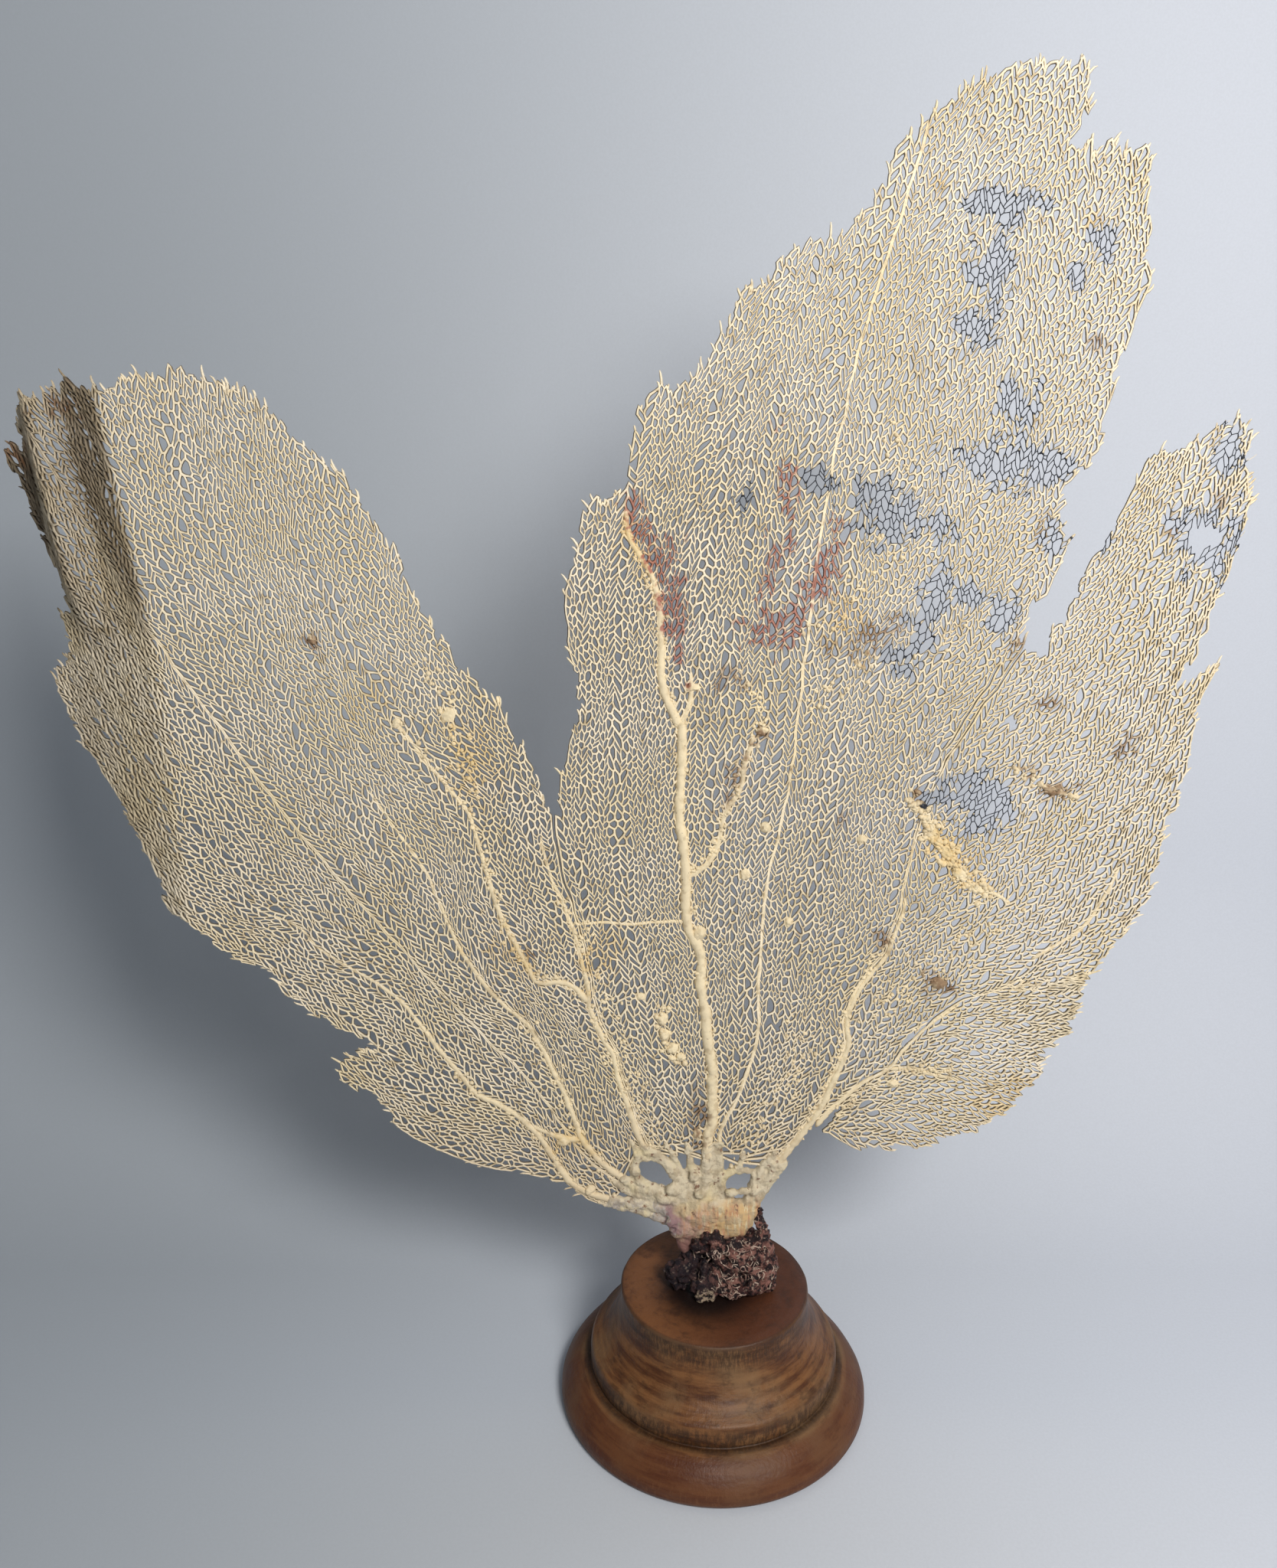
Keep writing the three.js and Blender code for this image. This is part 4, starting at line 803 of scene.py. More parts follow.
def add_rim(net, used, crests, half, mesh):
    """Closes the outer side of the strands along the net's edge, and adds free strand tips there."""
    open_edges = sorted((a, b) for (a, b) in used if (b, a) not in used)
    outward = {}
    for a, b in open_edges:
        (ax, az), (bx, bz) = net.points[a], net.points[b]
        length = math.hypot(bx - ax, bz - az) or 1.0
        side = np.array([-(bz - az) / length, (bx - ax) / length])
        for i in (a, b):
            outward[i] = outward.get(i, np.zeros(2)) + side
    outer = {}
    for i, side in outward.items():
        outward[i] = side = side / max(np.linalg.norm(side), 0.5)
        outer[i] = mesh.middle(np.array(net.points[i]) + side * half[i], 1.0)
    for a, b in open_edges:
        (fa, ba), (fb, bb) = crests[a], crests[b]
        mesh.faces.append((fa, fb, outer[b], outer[a]))
        mesh.faces.append((outer[a], outer[b], bb, ba))
    for i in sorted(outward):
        if random_of.random() < TIP_SHARE:
            add_tip(net, net.points[i], outward[i], half[i], mesh)


def add_tip(net, place, side, half, mesh):
    """A free strand end: a four-sided spike that leaves the net's edge along its growth."""
    x, z = place
    growth = np.array([x, z - TRUNK_TOP])
    growth /= np.linalg.norm(growth)
    stray = np.array([random_of.uniform(-1, 1), random_of.uniform(-1, 1)])
    aim = 0.3 * side + 1.0 * growth + 0.25 * stray
    aim /= np.linalg.norm(aim)
    length = random_of.uniform(*TIP_LENGTH)
    if float(aim @ side) < 0.1 or any(inside(net.outline, place + aim * far) for far in (1.6, length)):
        return
    across = np.array([-aim[1], aim[0]])
    sway = random_of.uniform(-0.12, 0.12) * length
    flat, lift = [], []
    rings = [(-0.15, 0.95, 0), (0.35, 0.9, 1), (0.75, 0.75, 1), (1.0, 0.35, 0)]
    for share, size, swayed in rings:
        middle = np.array(place) + aim * length * share + across * sway * swayed
        for sideways, height in ((1, 0), (0, 1), (-1, 0), (0, -1)):
            flat.append(tuple(middle + across * sideways * half * 0.85 * size))
            lift.append(height * half * 1.1 * size)
    mesh.add(flat, lift, tube_faces(len(rings), 4), 0.25)


def new_object(name, places, faces, material):
    """A mesh object with smooth faces, in metres."""
    mesh = bpy.data.meshes.new(name)
    mesh.from_pydata([tuple(p) for p in places], [], faces)
    mesh.polygons.foreach_set("use_smooth", [True] * len(mesh.polygons))
    mesh.materials.append(material)
    mesh.update()
    piece = bpy.data.objects.new(name, mesh)
    bpy.context.scene.collection.objects.link(piece)
    return piece


def sheet_piece(name, made, node, material):
    """An object from a mesh made on the sheet, with its shade and its share of each kind of patch."""
    piece = new_object(name, bend(made.flat, made.lift), made.faces, material)
    attributes = piece.data.attributes
    attributes.new("shade", "FLOAT", "POINT").data.foreach_set("value", made.shade)
    for kind in PATCHES:
        attributes.new(kind, "FLOAT", "POINT").data.foreach_set("value", patch_values(kind, made.flat))
    declare(piece, node)
    return piece


def add_flat_map(piece):
    """A simple map of the sheet for the export: the front on its left half and the back on its right."""
    border = 0.01
    mesh = piece.data
    places = np.empty(len(mesh.vertices) * 3)
    mesh.vertices.foreach_get("co", places)
    places = places.reshape(-1, 3)
    low, high = places.min(axis=0), places.max(axis=0)
    normals = np.empty(len(mesh.polygons) * 3)
    mesh.polygons.foreach_get("normal", normals)
    totals = np.empty(len(mesh.polygons), int)
    mesh.polygons.foreach_get("loop_total", totals)
    corner = np.empty(len(mesh.loops), int)
    mesh.loops.foreach_get("vertex_index", corner)
    behind = np.repeat(normals.reshape(-1, 3)[:, 1] > 0, totals)
    across = (places[corner, 0] - low[0]) / (high[0] - low[0])
    upward = (places[corner, 2] - low[2]) / (high[2] - low[2])
    layout = np.stack([border + (0.5 - 2 * border) * across + 0.5 * behind,
                       border + (1 - 2 * border) * upward], axis=1)
    mesh.uv_layers.new(name="OFBake").data.foreach_set("uv", layout.ravel())


def declare(piece, node):
    """Puts a piece in a solid's place: under the root, with the solid hidden."""
    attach(piece, "root")
    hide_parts(node)


def add_net(name, blade, t_values, material):
    """A piece of a blade's net between its first strands, whose places t between the guides are given."""
    net = Net(OUTLINES[blade], TEARS)
    net.start(t_values)
    add_flat_map(sheet_piece(name, net_mesh(net), blade + "_blade", material))


def rod(line, radii, sides=10, rough=0.35, seed=0.0):
    """A bumpy tapered rod along a line on the sheet: flat places, heights and faces."""
    path = spline(line)
    across = to_the_left(path)
    flat, lift = [], []
    last = len(path) - 1
    for k, (x, z) in enumerate(path):
        radius = radii[0] + (radii[1] - radii[0]) * k / last
        wander = 0.35 * speckle(x, z, 7.0, 4.0 + seed)
        cap = min(1.0, 0.35 + 0.4 * min(k, last - k))
        for side in range(sides):
            angle = 2 * math.pi * side / sides
            bump = noise.noise(Vector((x / 1.7, z / 1.7, side * 0.9 + seed)))
            bump += 0.7 * noise.noise(Vector((x / 5, z / 5, seed)))
            size = radius * cap * (1 + rough * bump)
            sideways = math.cos(angle) * size + wander
            flat.append((x + across[k, 0] * sideways, z + across[k, 1] * sideways))
            lift.append(math.sin(angle) * size)
    return flat, lift, tube_faces(len(path), sides)


def add_ribs(blade, material):
    """The raised ribs of a blade, with the lumps and crumbs of crust on it."""
    mesh = Mesh()
    for number, rib in enumerate(RIBS[blade]):
        if "guide" in rib:
            low, high = rib["span"]
            line = FLOW[rib["guide"]][low:high + 1:6]
        else:
            line = rib["line"]
        mesh.add(*rod(line, rib["radii"], seed=number * 3.1))
    for (x, z), size, turn in LUMPS[blade]:
        mesh.add(*lump(x, z, size, turn))
    for line, stray, count, least, largest in CRUMBS[blade]:
        path = spline(line)
        for _ in range(count):
            x, z = path[random_of.randrange(len(path))]
            x += random_of.gauss(0, stray / 2)
            z += random_of.gauss(0, stray / 2)
            if inside(OUTLINES[blade], (x, z)) and patch_values("bare", [(x, z)])[0] < 0.1:
                radius = random_of.uniform(least, largest)
                size = (radius * 1.25, radius, 0.6 + radius)
                mesh.add(*lump(x, z, size, random_of.uniform(0, 180), 4, 7), 0.2)
    sheet_piece(blade + "_ribs", mesh, blade + "_blade", material)


def lump(x, z, size, turn, rows=14, columns=22):
    """A knobbly encrusting lump on the sheet."""
    angle = math.radians(turn)
    seed = Vector((x, z, 0)) * 0.37
    flat, lift = [], []
    for aim in ball_aims(rows, columns):
        bump = 0.30 * noise.noise(aim * 1.7 + seed) + 0.22 * noise.noise(aim * 4.5 + seed)
        swell = 1 + bump + 0.10 * noise.noise(aim * 10 + seed)
        u, v = aim.x * size[0] * swell, aim.y * size[1] * swell
        flat.append((x + u * math.cos(angle) - v * math.sin(angle),
                     z + u * math.sin(angle) + v * math.cos(angle)))
        lift.append(aim.z * size[2] * swell)
    return flat, lift, ball_faces(rows, columns)


def ball_aims(rows, columns):
    """Directions from the middle of a ball: its top, its rings from the top down, and its bottom."""
    aims = [Vector((0, 0, 1))]
    for row in range(1, rows):
        tilt = math.pi * row / rows
        for column in range(columns):
            turn = 2 * math.pi * column / columns
            aims.append(Vector((math.sin(tilt) * math.cos(turn), math.sin(tilt) * math.sin(turn),
                                math.cos(tilt))))
    return aims + [Vector((0, 0, -1))]


def ball_faces(rows, columns):
    """The faces of a ball whose vertices follow ball_aims."""
    faces = []
    last = 1 + (rows - 1) * columns
    for column in range(columns):
        beside = (column + 1) % columns
        faces.append((0, 1 + column, 1 + beside))
        for row in range(rows - 2):
            a, b = 1 + row * columns + column, 1 + row * columns + beside
            faces.append((a, a + columns, b + columns, b))
        faces.append((last, last - columns + beside, last - columns + column))
    return faces


# Fused pieces: the trunk and the holdfast grow together from several forms

def joined(parts):
    """Several meshes, each as places and faces, as one."""
    places, faces = [], []
    for more_places, more_faces in parts:
        first = len(places)
        places += [tuple(p) for p in more_places]
        faces += [tuple(i + first for i in face) for face in more_faces]
    return places, faces


def ball(centre, radii, rough=0.12, rows=12, columns=18):
    """A rough ball in the round, in metres, from a centre and radii in millimetres."""
    seed = Vector(centre) * 0.21
    places = []
    for aim in ball_aims(rows, columns):
        swell = 1 + rough * noise.noise(aim * 2 + seed) + 0.6 * rough * noise.noise(aim * 5 + seed)
        places.append(tuple((centre[k] + aim[k] * radii[k] * swell) * MM for k in range(3)))
    return places, ball_faces(rows, columns)


def fused(name, parts, voxel, material):
    """Grows several closed meshes into one skin of even facets, in metres."""
    places, faces = joined(parts)
    piece = new_object(name, places, faces, material)
    remesh = piece.modifiers.new("grow together", "REMESH")
    remesh.mode = "VOXEL"
    remesh.voxel_size = voxel * MM
    soften = piece.modifiers.new("soften", "SMOOTH")
    soften.factor = 0.5
    soften.iterations = 3
    ready = bpy.data.meshes.new_from_object(piece.evaluated_get(bpy.context.evaluated_depsgraph_get()))
    piece.modifiers.clear()
    spare = piece.data
    piece.data = ready
    bpy.data.meshes.remove(spare)
    ready.polygons.foreach_set("use_smooth", [True] * len(ready.polygons))
    return piece


def roughen(piece, height_at):
    """Moves every vertex along its normal by a height in millimetres that its place gives."""
    mesh = piece.data
    moves = [vertex.normal * height_at(vertex.co / MM) * MM for vertex in mesh.vertices]
    for vertex, move in zip(mesh.vertices, moves):
        vertex.co += move
    mesh.update()


# Roots of the trunk: the growth line that each runs into, its own way there, and its end radii, mm
ROOTS = [
    (0.3, [(-13, 79), (-20, 83), (-28, 87), (-37, 89.6)], (3.0, 1.2)),
    (2, [(-12, 84), (-21, 89), (-30, 91.5)], (3.6, 1.9)),
    (3, [(-12, 87), (-20, 92.5), (-29, 95.6)], (3.2, 1.3)),
    (4, [(-11, 90), (-19.5, 94.6), (-29, 98.5)], (3.4, 1.9)),
    (5, [(-10, 90), (-21, 96), (-30.8, 101.6), (-34, 108)], (3.2, 1.5)),
    (6, [(-9, 88), (-14.6, 97), (-16, 104), (-20, 109.6)], (3.4, 1.8)),
    (7.6, [(-8, 88), (-11.5, 98), (-14.5, 106)], (2.4, 1.1)),
    (8.4, [(-7, 88), (-8.5, 99), (-10, 106)], (2.4, 1.1)),
    (9, [(-5, 86), (-5, 98)], (3.6, 2.3)),
    (9.6, [(-3, 86), (-3, 99)], (2.6, 1.2)),
    (10.4, [(-1, 86), (-0.6, 100)], (2.4, 1.1)),
    (11, [(2, 84), (2, 98)], (2.8, 1.4)),
    (12, [(4, 84), (2.6, 97), (3, 103), (6, 106.4)], (2.6, 1.2)),
    (13, [(12, 84), (14.6, 96), (16.6, 104)], (3.2, 1.6)),
    (14, [(12, 84), (16.2, 95), (19.2, 101)], (3.4, 2.0)),
    (16.5, [(12.4, 82), (17, 93), (21, 100)], (3.0, 1.5)),
]
# Bars across the trunk's holes: a line on the sheet and its end radii, mm
TRUNK_BARS = [
    ([(-19.6, 110.6), (-26, 113), (-32, 112.6), (-34.6, 109.5)], (1.7, 1.6)),
    ([(2, 104.8), (7, 106.4), (13, 106.6), (18, 105.6)], (1.3, 1.5)),
    ([(-12, 104), (-11.6, 108), (-9, 109.4), (-6.4, 107)], (1.0, 0.9)),
]
# Swellings of the trunk, as the middle and the radii of balls in the round, mm
TRUNK_BODY = [
    ((-3, -0.3, 87), (14.5, 5.6, 9)), ((-13.5, -0.6, 81.5), (6, 4.4, 7)), ((-13, -0.3, 73.6), (3, 3, 6)),
    ((7.5, -0.3, 84.5), (8.6, 5.8, 9)), ((1, 0.3, 79), (12.5, 5.6, 7)),
    ((-18, -4.2, 85), (2.6, 1.6, 2.6)), ((-18, -2.4, 99.6), (3, 2.4, 2.8)),
    ((-9, -2, 105.5), (2.2, 2, 2.6)), ((-6.4, -3.2, 97.6), (2.2, 1.6, 2)),
    ((6.2, -3.4, 98.8), (2.8, 1.8, 1.8)), ((11.2, -3, 99.2), (2.4, 1.8, 1.8)),
    ((-33, -2, 107.6), (2.2, 1.8, 2)), ((-20.6, -3, 95), (3.4, 1.8, 2)),
    ((15.5, -2.4, 99), (2, 1.8, 2.2)), ((-0.8, -3.6, 92.6), (2.4, 1.6, 3)),
]


def trunk_height(p):
    """Streaks that run down the trunk, fine grain, and pits."""
    streak = noise.noise(Vector((p.x / 1.3, p.y / 3, p.z / 9)))
    grain = noise.noise(p / 1.1) + 0.6 * noise.noise(p / 0.6)
    pit = max(0.0, noise.noise(p / 2.1 + Vector((7, 3, 1))) - 0.3)
    return 0.38 * streak + 0.22 * grain + 0.35 * noise.noise(p / 4) - 1.3 * pit


def add_trunk(material):
    """The trunk, grown together from the roots of the ribs and strands that leave it."""
    maker = random.Random(SEED + 2)
    reach = 9    # mm that it grows along the net's growth lines
    parts = [ball(centre, radii) for centre, radii in TRUNK_BODY]
    for t, way, radii in ROOTS:
        ends = [flow(t, 0), flow(t, 0.5 * reach), flow(t, reach)]
        flat, lift, faces = rod(way + ends, radii, seed=t)
        parts.append((bend(flat, lift), faces))
        for _ in range(9 if t > 2 else 2):
            x, z = flow(t, maker.uniform(0, reach))
            radius = maker.uniform(0.4, 0.95)
            parts.append(ball((x + maker.uniform(-1.4, 1.4), -radii[1] * 0.9, z + maker.uniform(-1.4, 1.4)),
                              (radius, radius, radius), 0.3, 6, 9))
    for line, radii in TRUNK_BARS:
        flat, lift, faces = rod(line, radii, seed=line[0][0])
        parts.append((bend(flat, lift), faces))
    piece = fused("stem", parts, 0.55, material)
    roughen(piece, trunk_height)
    declare(piece, "trunk")


# Lumps of the holdfast, as the middle and the radii of balls, and its caves, mm
HOLDFAST_BODY = [
    ((11, -4, 65), (12, 6.5, 8.5)), ((19, -3.6, 60.5), (6.2, 5.4, 6.4)),
    ((14, -7.6, 58.4), (7.6, 5.0, 4.6)), ((4, -3, 72), (9, 6.2, 6)), ((15.5, -1.5, 74), (5.6, 4.8, 5)),
    ((20, -1, 76), (2.6, 2.8, 6)), ((18.2, -0.8, 83.4), (1.7, 2.2, 6.4)),
    ((-1.4, -4.6, 78.4), (4.6, 2.4, 3.4)), ((4.6, -4.4, 75.6), (6, 2.8, 3)),
    ((11.6, -4.2, 75), (5, 2.6, 2.8)), ((-7, -3.4, 73.6), (3.8, 3, 2.8)),
    ((-15.4, -3.6, 59.6), (5.4, 5, 6)), ((-10.5, -3.6, 61.6), (4.6, 4, 4.4)),
    ((-3, -6.5, 63), (5, 4, 4.6)), ((-6, -8.6, 58), (4.4, 3.8, 4)),
    ((-5.6, -12.6, 56.2), (2.8, 2.4, 2.6)), ((-2.4, -11.8, 55.9), (2.6, 2.2, 2.3)),
    ((-4.6, -10.2, 57.8), (3.4, 2.6, 2.8)), ((2.4, -7.6, 57.4), (4.4, 4, 3.8)),
    ((8, -10, 56.4), (4.6, 3.2, 3)), ((22, -5.6, 57), (3.4, 3.2, 3.6)), ((23.4, -3, 64), (2.8, 3.4, 5)),
    ((8, 3, 62), (12, 6, 8)), ((0, 3, 67), (12, 5, 6)), ((-10, 1, 65), (5, 4, 5)),
    ((21.6, -2, 70.5), (2.8, 3.2, 4)),
]
HOLDFAST_CAVES = [
    ((10.5, -10, 62.5), 4.0), ((-0.5, -10, 64), 4.4), ((-8.4, -8, 63.4), 3.0), ((16, -8, 68), 2.6),
    ((4, -9, 70), 3.0), ((19, -10, 60), 2.4), ((-14, -8, 57), 2.6),
]


def crust_height(p):
    """Coarse crumbs, sharp folds, pits and a few caves in the holdfast's crust."""
    folds = 1 - abs(noise.noise(p / 3.4)) * 2.4
    crumbs = noise.noise(p / 1.5 + Vector((3, 1, 4))) + 0.5 * noise.noise(p / 0.8)
    pits = max(0.0, noise.noise(p / 4.5 + Vector((2, 9, 5))) - 0.18)
    height = 0.5 * folds + 0.7 * crumbs - 4.5 * pits
    for middle, size in HOLDFAST_CAVES:
        height -= 5.0 * max(0.0, 1 - (p - Vector(middle)).length / size)
    return height


def add_holdfast(material):
    """The encrusted lump below the trunk. It keeps off the base's top."""
    parts = [ball(centre, radii, rough=0.3) for centre, radii in HOLDFAST_BODY]
    piece = fused("holdfast_crust", parts, 0.5, material)
    roughen(piece, crust_height)
    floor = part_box("base")[1][2] + 0.05 * MM
    for vertex in piece.data.vertices:
        vertex.co.z = max(vertex.co.z, floor)
    piece.data.update()
    declare(piece, "holdfast")
    return piece


def surface_point(piece, origin, aim):
    """Where a ray meets a piece, with the normal there, or None if it misses."""
    hit, place, normal, _ = piece.ray_cast(origin, aim)
    return (place, normal) if hit else None


def add_worm_tubes(crust, material):
    """Thin pale worm tubes that wander over the holdfast, more of them on its right."""
    tries, step = 230, 0.75 * MM
    places, faces = [], []
    maker = random.Random(SEED + 1)
    for _ in range(tries):
        start = Vector((maker.uniform(-20, 26), -40, maker.uniform(54.5, 90))) * MM
        found = surface_point(crust, start, Vector((maker.uniform(-0.3, 0.3), 1, maker.uniform(-0.5, 0.3))))
        if not found:
            continue
        place, normal = found
        if place.x < 0.002 and maker.random() < 0.7:
            continue
        path = [place]
        heading = normal.orthogonal().normalized()
        heading.rotate(Matrix.Rotation(maker.uniform(0, 6.28), 3, normal))
        bend_rate = maker.uniform(-0.8, 0.8)
        for _ in range(maker.randint(4, 11)):
            heading.rotate(Matrix.Rotation(bend_rate + maker.uniform(-0.3, 0.3), 3, normal))
            ahead = path[-1] + heading * step
            hit = surface_point(crust, ahead + normal * 3 * MM, -normal)
            if hit:
                ahead, normal = hit[0], hit[1]
                heading = (heading - normal * heading.dot(normal)).normalized()
            path.append(ahead)
        add_tube(path, maker.uniform(0.12, 0.30) * MM, places, faces)
    piece = new_object("worm_tubes", places, faces, material)
    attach(piece, "root")


def add_tube(path, radius, places, faces, sides=6):
    """A thin round tube along a path, with closed ends, added to places and faces."""
    first = len(places)
    for k, point in enumerate(path):
        ahead = (path[min(k + 1, len(path) - 1)] - path[max(k - 1, 0)]).normalized()
        side = ahead.orthogonal().normalized()
        other = ahead.cross(side)
        for turn in range(sides):
            angle = 2 * math.pi * turn / sides
            places.append(tuple(point + (side * math.cos(angle) + other * math.sin(angle)) * radius))
    faces += tube_faces(len(path), sides, first)


# The base's turned side from the top's rim to the foot's lower edge: radius and height, mm
BASE_SIDE = [
    (38.6, 53.15), (39.4, 52.3), (39.45, 50), (39.3, 47), (39.7, 43.5), (40.6, 40), (42.2, 36.4),
    (44.6, 32.4), (47.3, 29.4), (50, 27.3), (51.4, 26.2), (52.1, 24.6), (52.35, 21), (52.2, 18.1),
    (51.9, 17.4), (52.3, 17), (53.4, 17.2), (54.4, 16.9), (56, 16.2), (58.4, 14.6), (60.6, 12.6),
    (62.4, 10.4), (63.8, 8.2), (64.7, 6.2), (65, 4.6), (64.9, 2.4), (64.3, 0.9),
]
BASE_TOP = [(20, 53.3), (34, 53.3)]
BASE_UNDERSIDE = [(40, 0.05)]


def add_base(material, segments=160):
    """The turned base, with slightly uneven rims between its two flat faces."""
    places, faces = [], []
    profile = BASE_TOP + [tuple(p) for p in spline(BASE_SIDE, 0.7)] + BASE_UNDERSIDE
    for radius, height in profile:
        for turn in range(segments):
            angle = 2 * math.pi * turn / segments
            wear = 0.16 * noise.noise(Vector((math.cos(angle) * 6, math.sin(angle) * 6, height / 5)))
            size = radius + (wear - 0.12 if 3 < height < 53 and radius > 30 else 0)
            places.append((size * math.cos(angle) * MM, size * math.sin(angle) * MM, height * MM))
    for row in range(len(profile) - 1):
        for turn in range(segments):
            a, b = row * segments + turn, row * segments + (turn + 1) % segments
            faces.append((a, a + segments, b + segments, b))
    faces.append(tuple(range(segments)))
    faces.append(tuple(range(len(places) - segments, len(places)))[::-1])
    piece = new_object("turned_base", places, faces, material)
    declare(piece, "base")


# Materials

class Shader:
    """A material's nodes, built up from the shader backwards."""

    def __init__(self, name, roughness, specular=0.3):
        self.material = bpy.data.materials.new(name)
        self.material.use_nodes = True
        self.tree = self.material.node_tree
        self.bsdf = self.tree.nodes["Principled BSDF"]
        self.bsdf.inputs["Roughness"].default_value = roughness
        self.bsdf.inputs["Specular IOR Level"].default_value = specular
        self.place = self.node("ShaderNodeTexCoord").outputs["Object"]

    def node(self, kind, **settings):
        made = self.tree.nodes.new(kind)
        for key, value in settings.items():
            setattr(made, key, value)
        return made

    def link(self, source, target):
        self.tree.links.new(source, target)

    def put(self, socket, value):
        """Gives a socket a link, a colour or a number."""
        if isinstance(value, bpy.types.NodeSocket):
            self.link(value, socket)
        elif isinstance(value, tuple) and len(value) == 3 and socket.type == "RGBA":
            socket.default_value = (*value, 1)
        else:
            socket.default_value = value

    def noise(self, size, detail=4.0, rough=0.55, place=None, stretch=None):
        """Noise from 0 to 1 with features of about that size in metres."""
        place = place or self.place
        if stretch:
            scaled = self.node("ShaderNodeMapping")
            scaled.inputs["Scale"].default_value = stretch
            self.link(place, scaled.inputs["Vector"])
            place = scaled.outputs["Vector"]
        made = self.node("ShaderNodeTexNoise")
        made.inputs["Scale"].default_value = 1 / size
        made.inputs["Detail"].default_value = detail
        made.inputs["Roughness"].default_value = rough
        self.link(place, made.inputs["Vector"])
        return made.outputs["Fac"]

    def ramp(self, value, low, high, to_low=0.0, to_high=1.0):
        """A soft step from one number at low to another at high."""
        made = self.node("ShaderNodeMapRange", interpolation_type="SMOOTHSTEP")
        numbers = {"From Min": low, "From Max": high, "To Min": to_low, "To Max": to_high}
        for name, number in numbers.items():
            made.inputs[name].default_value = number
        self.link(value, made.inputs["Value"])
        return made.outputs["Result"]

    def math(self, operation, a, b=0.0):
        made = self.node("ShaderNodeMath", operation=operation)
        self.put(made.inputs[0], a)
        self.put(made.inputs[1], b)
        return made.outputs[0]

    def times(self, a, b):
        return self.math("MULTIPLY", a, b)

    def plus(self, a, b):
        return self.math("ADD", a, b)

    def distance(self, a, b):
        """Length of the way a across and b along."""
        return self.math("SQRT", self.plus(self.times(a, a), self.times(b, b)))

    def mix(self, share, a, b):
        """Colour a, turned into colour b by a share from 0 to 1."""
        made = self.node("ShaderNodeMix", data_type="RGBA")
        self.put(made.inputs["Factor"], share)
        self.put(made.inputs[6], a)
        self.put(made.inputs[7], b)
        return made.outputs[2]

    def attribute(self, name):
        return self.node("ShaderNodeAttribute", attribute_name=name).outputs["Fac"]

    def axes(self):
        split = self.node("ShaderNodeSeparateXYZ")
        self.link(self.place, split.inputs[0])
        return split.outputs["X"], split.outputs["Y"], split.outputs["Z"]

    def colour(self, value):
        self.put(self.bsdf.inputs["Base Color"], value)

    def roughness(self, value):
        self.put(self.bsdf.inputs["Roughness"], value)

    def clear_from_behind(self):
        """Lets a view from behind look through the surface."""
        clear = self.node("ShaderNodeBsdfTransparent")
        seen = self.node("ShaderNodeNewGeometry")
        chosen = self.node("ShaderNodeMixShader")
        self.link(seen.outputs["Backfacing"], chosen.inputs[0])
        self.link(self.bsdf.outputs["BSDF"], chosen.inputs[1])
        self.link(clear.outputs["BSDF"], chosen.inputs[2])
        self.link(chosen.outputs["Shader"], self.tree.nodes["Material Output"].inputs["Surface"])

    def bump(self, height, distance, strength=1.0):
        made = self.node("ShaderNodeBump")
        made.inputs["Strength"].default_value = strength
        made.inputs["Distance"].default_value = distance
        self.link(height, made.inputs["Height"])
        self.link(made.outputs["Normal"], self.bsdf.inputs["Normal"])


def painted_fold_shade(s, base, x, z):
    """Painted shade on the left lobe's fold: its outer part, the band along the crease, the flap behind."""
    # Painted shade, browner, on the lobe's outer part
    outer = s.times(s.ramp(x, -0.200, -0.235), s.ramp(s.noise(0.02, 3), 0.35, 0.7, 0.1, 0.4))
    base = s.mix(outer, base, (0.34, 0.24, 0.13))
    # Painted shade left of the crease, deepest in the band right next to it
    (low, high), (low_place, high_place) = CREASE_HEIGHTS, CREASE_PLACES
    crease = s.ramp(z, low * MM, high * MM, low_place * MM, high_place * MM)
    folded = s.ramp(s.math("SUBTRACT", x, crease), 0.002, -0.003)
    folded = s.times(folded, s.ramp(z, 0.310, 0.345))
    base = s.mix(s.times(folded, 0.3), base, (0.20, 0.14, 0.08))
    band_end = s.ramp(z, 0.322, 0.392, -0.2085, -0.2340)
    band = s.times(folded, s.ramp(s.math("SUBTRACT", x, band_end), -0.006, 0.004))
    base = s.mix(s.times(band, 0.6), base, (0.14, 0.095, 0.05))
    # Painted shade on the flap that shows behind the fold's edge
    behind = s.times(s.ramp(x, -0.2500, -0.2525), s.ramp(z, 0.324, 0.336))
    behind = s.times(behind, s.ramp(z, 0.394, 0.384))
    return s.mix(s.times(behind, 0.8), base, (0.07, 0.05, 0.03))


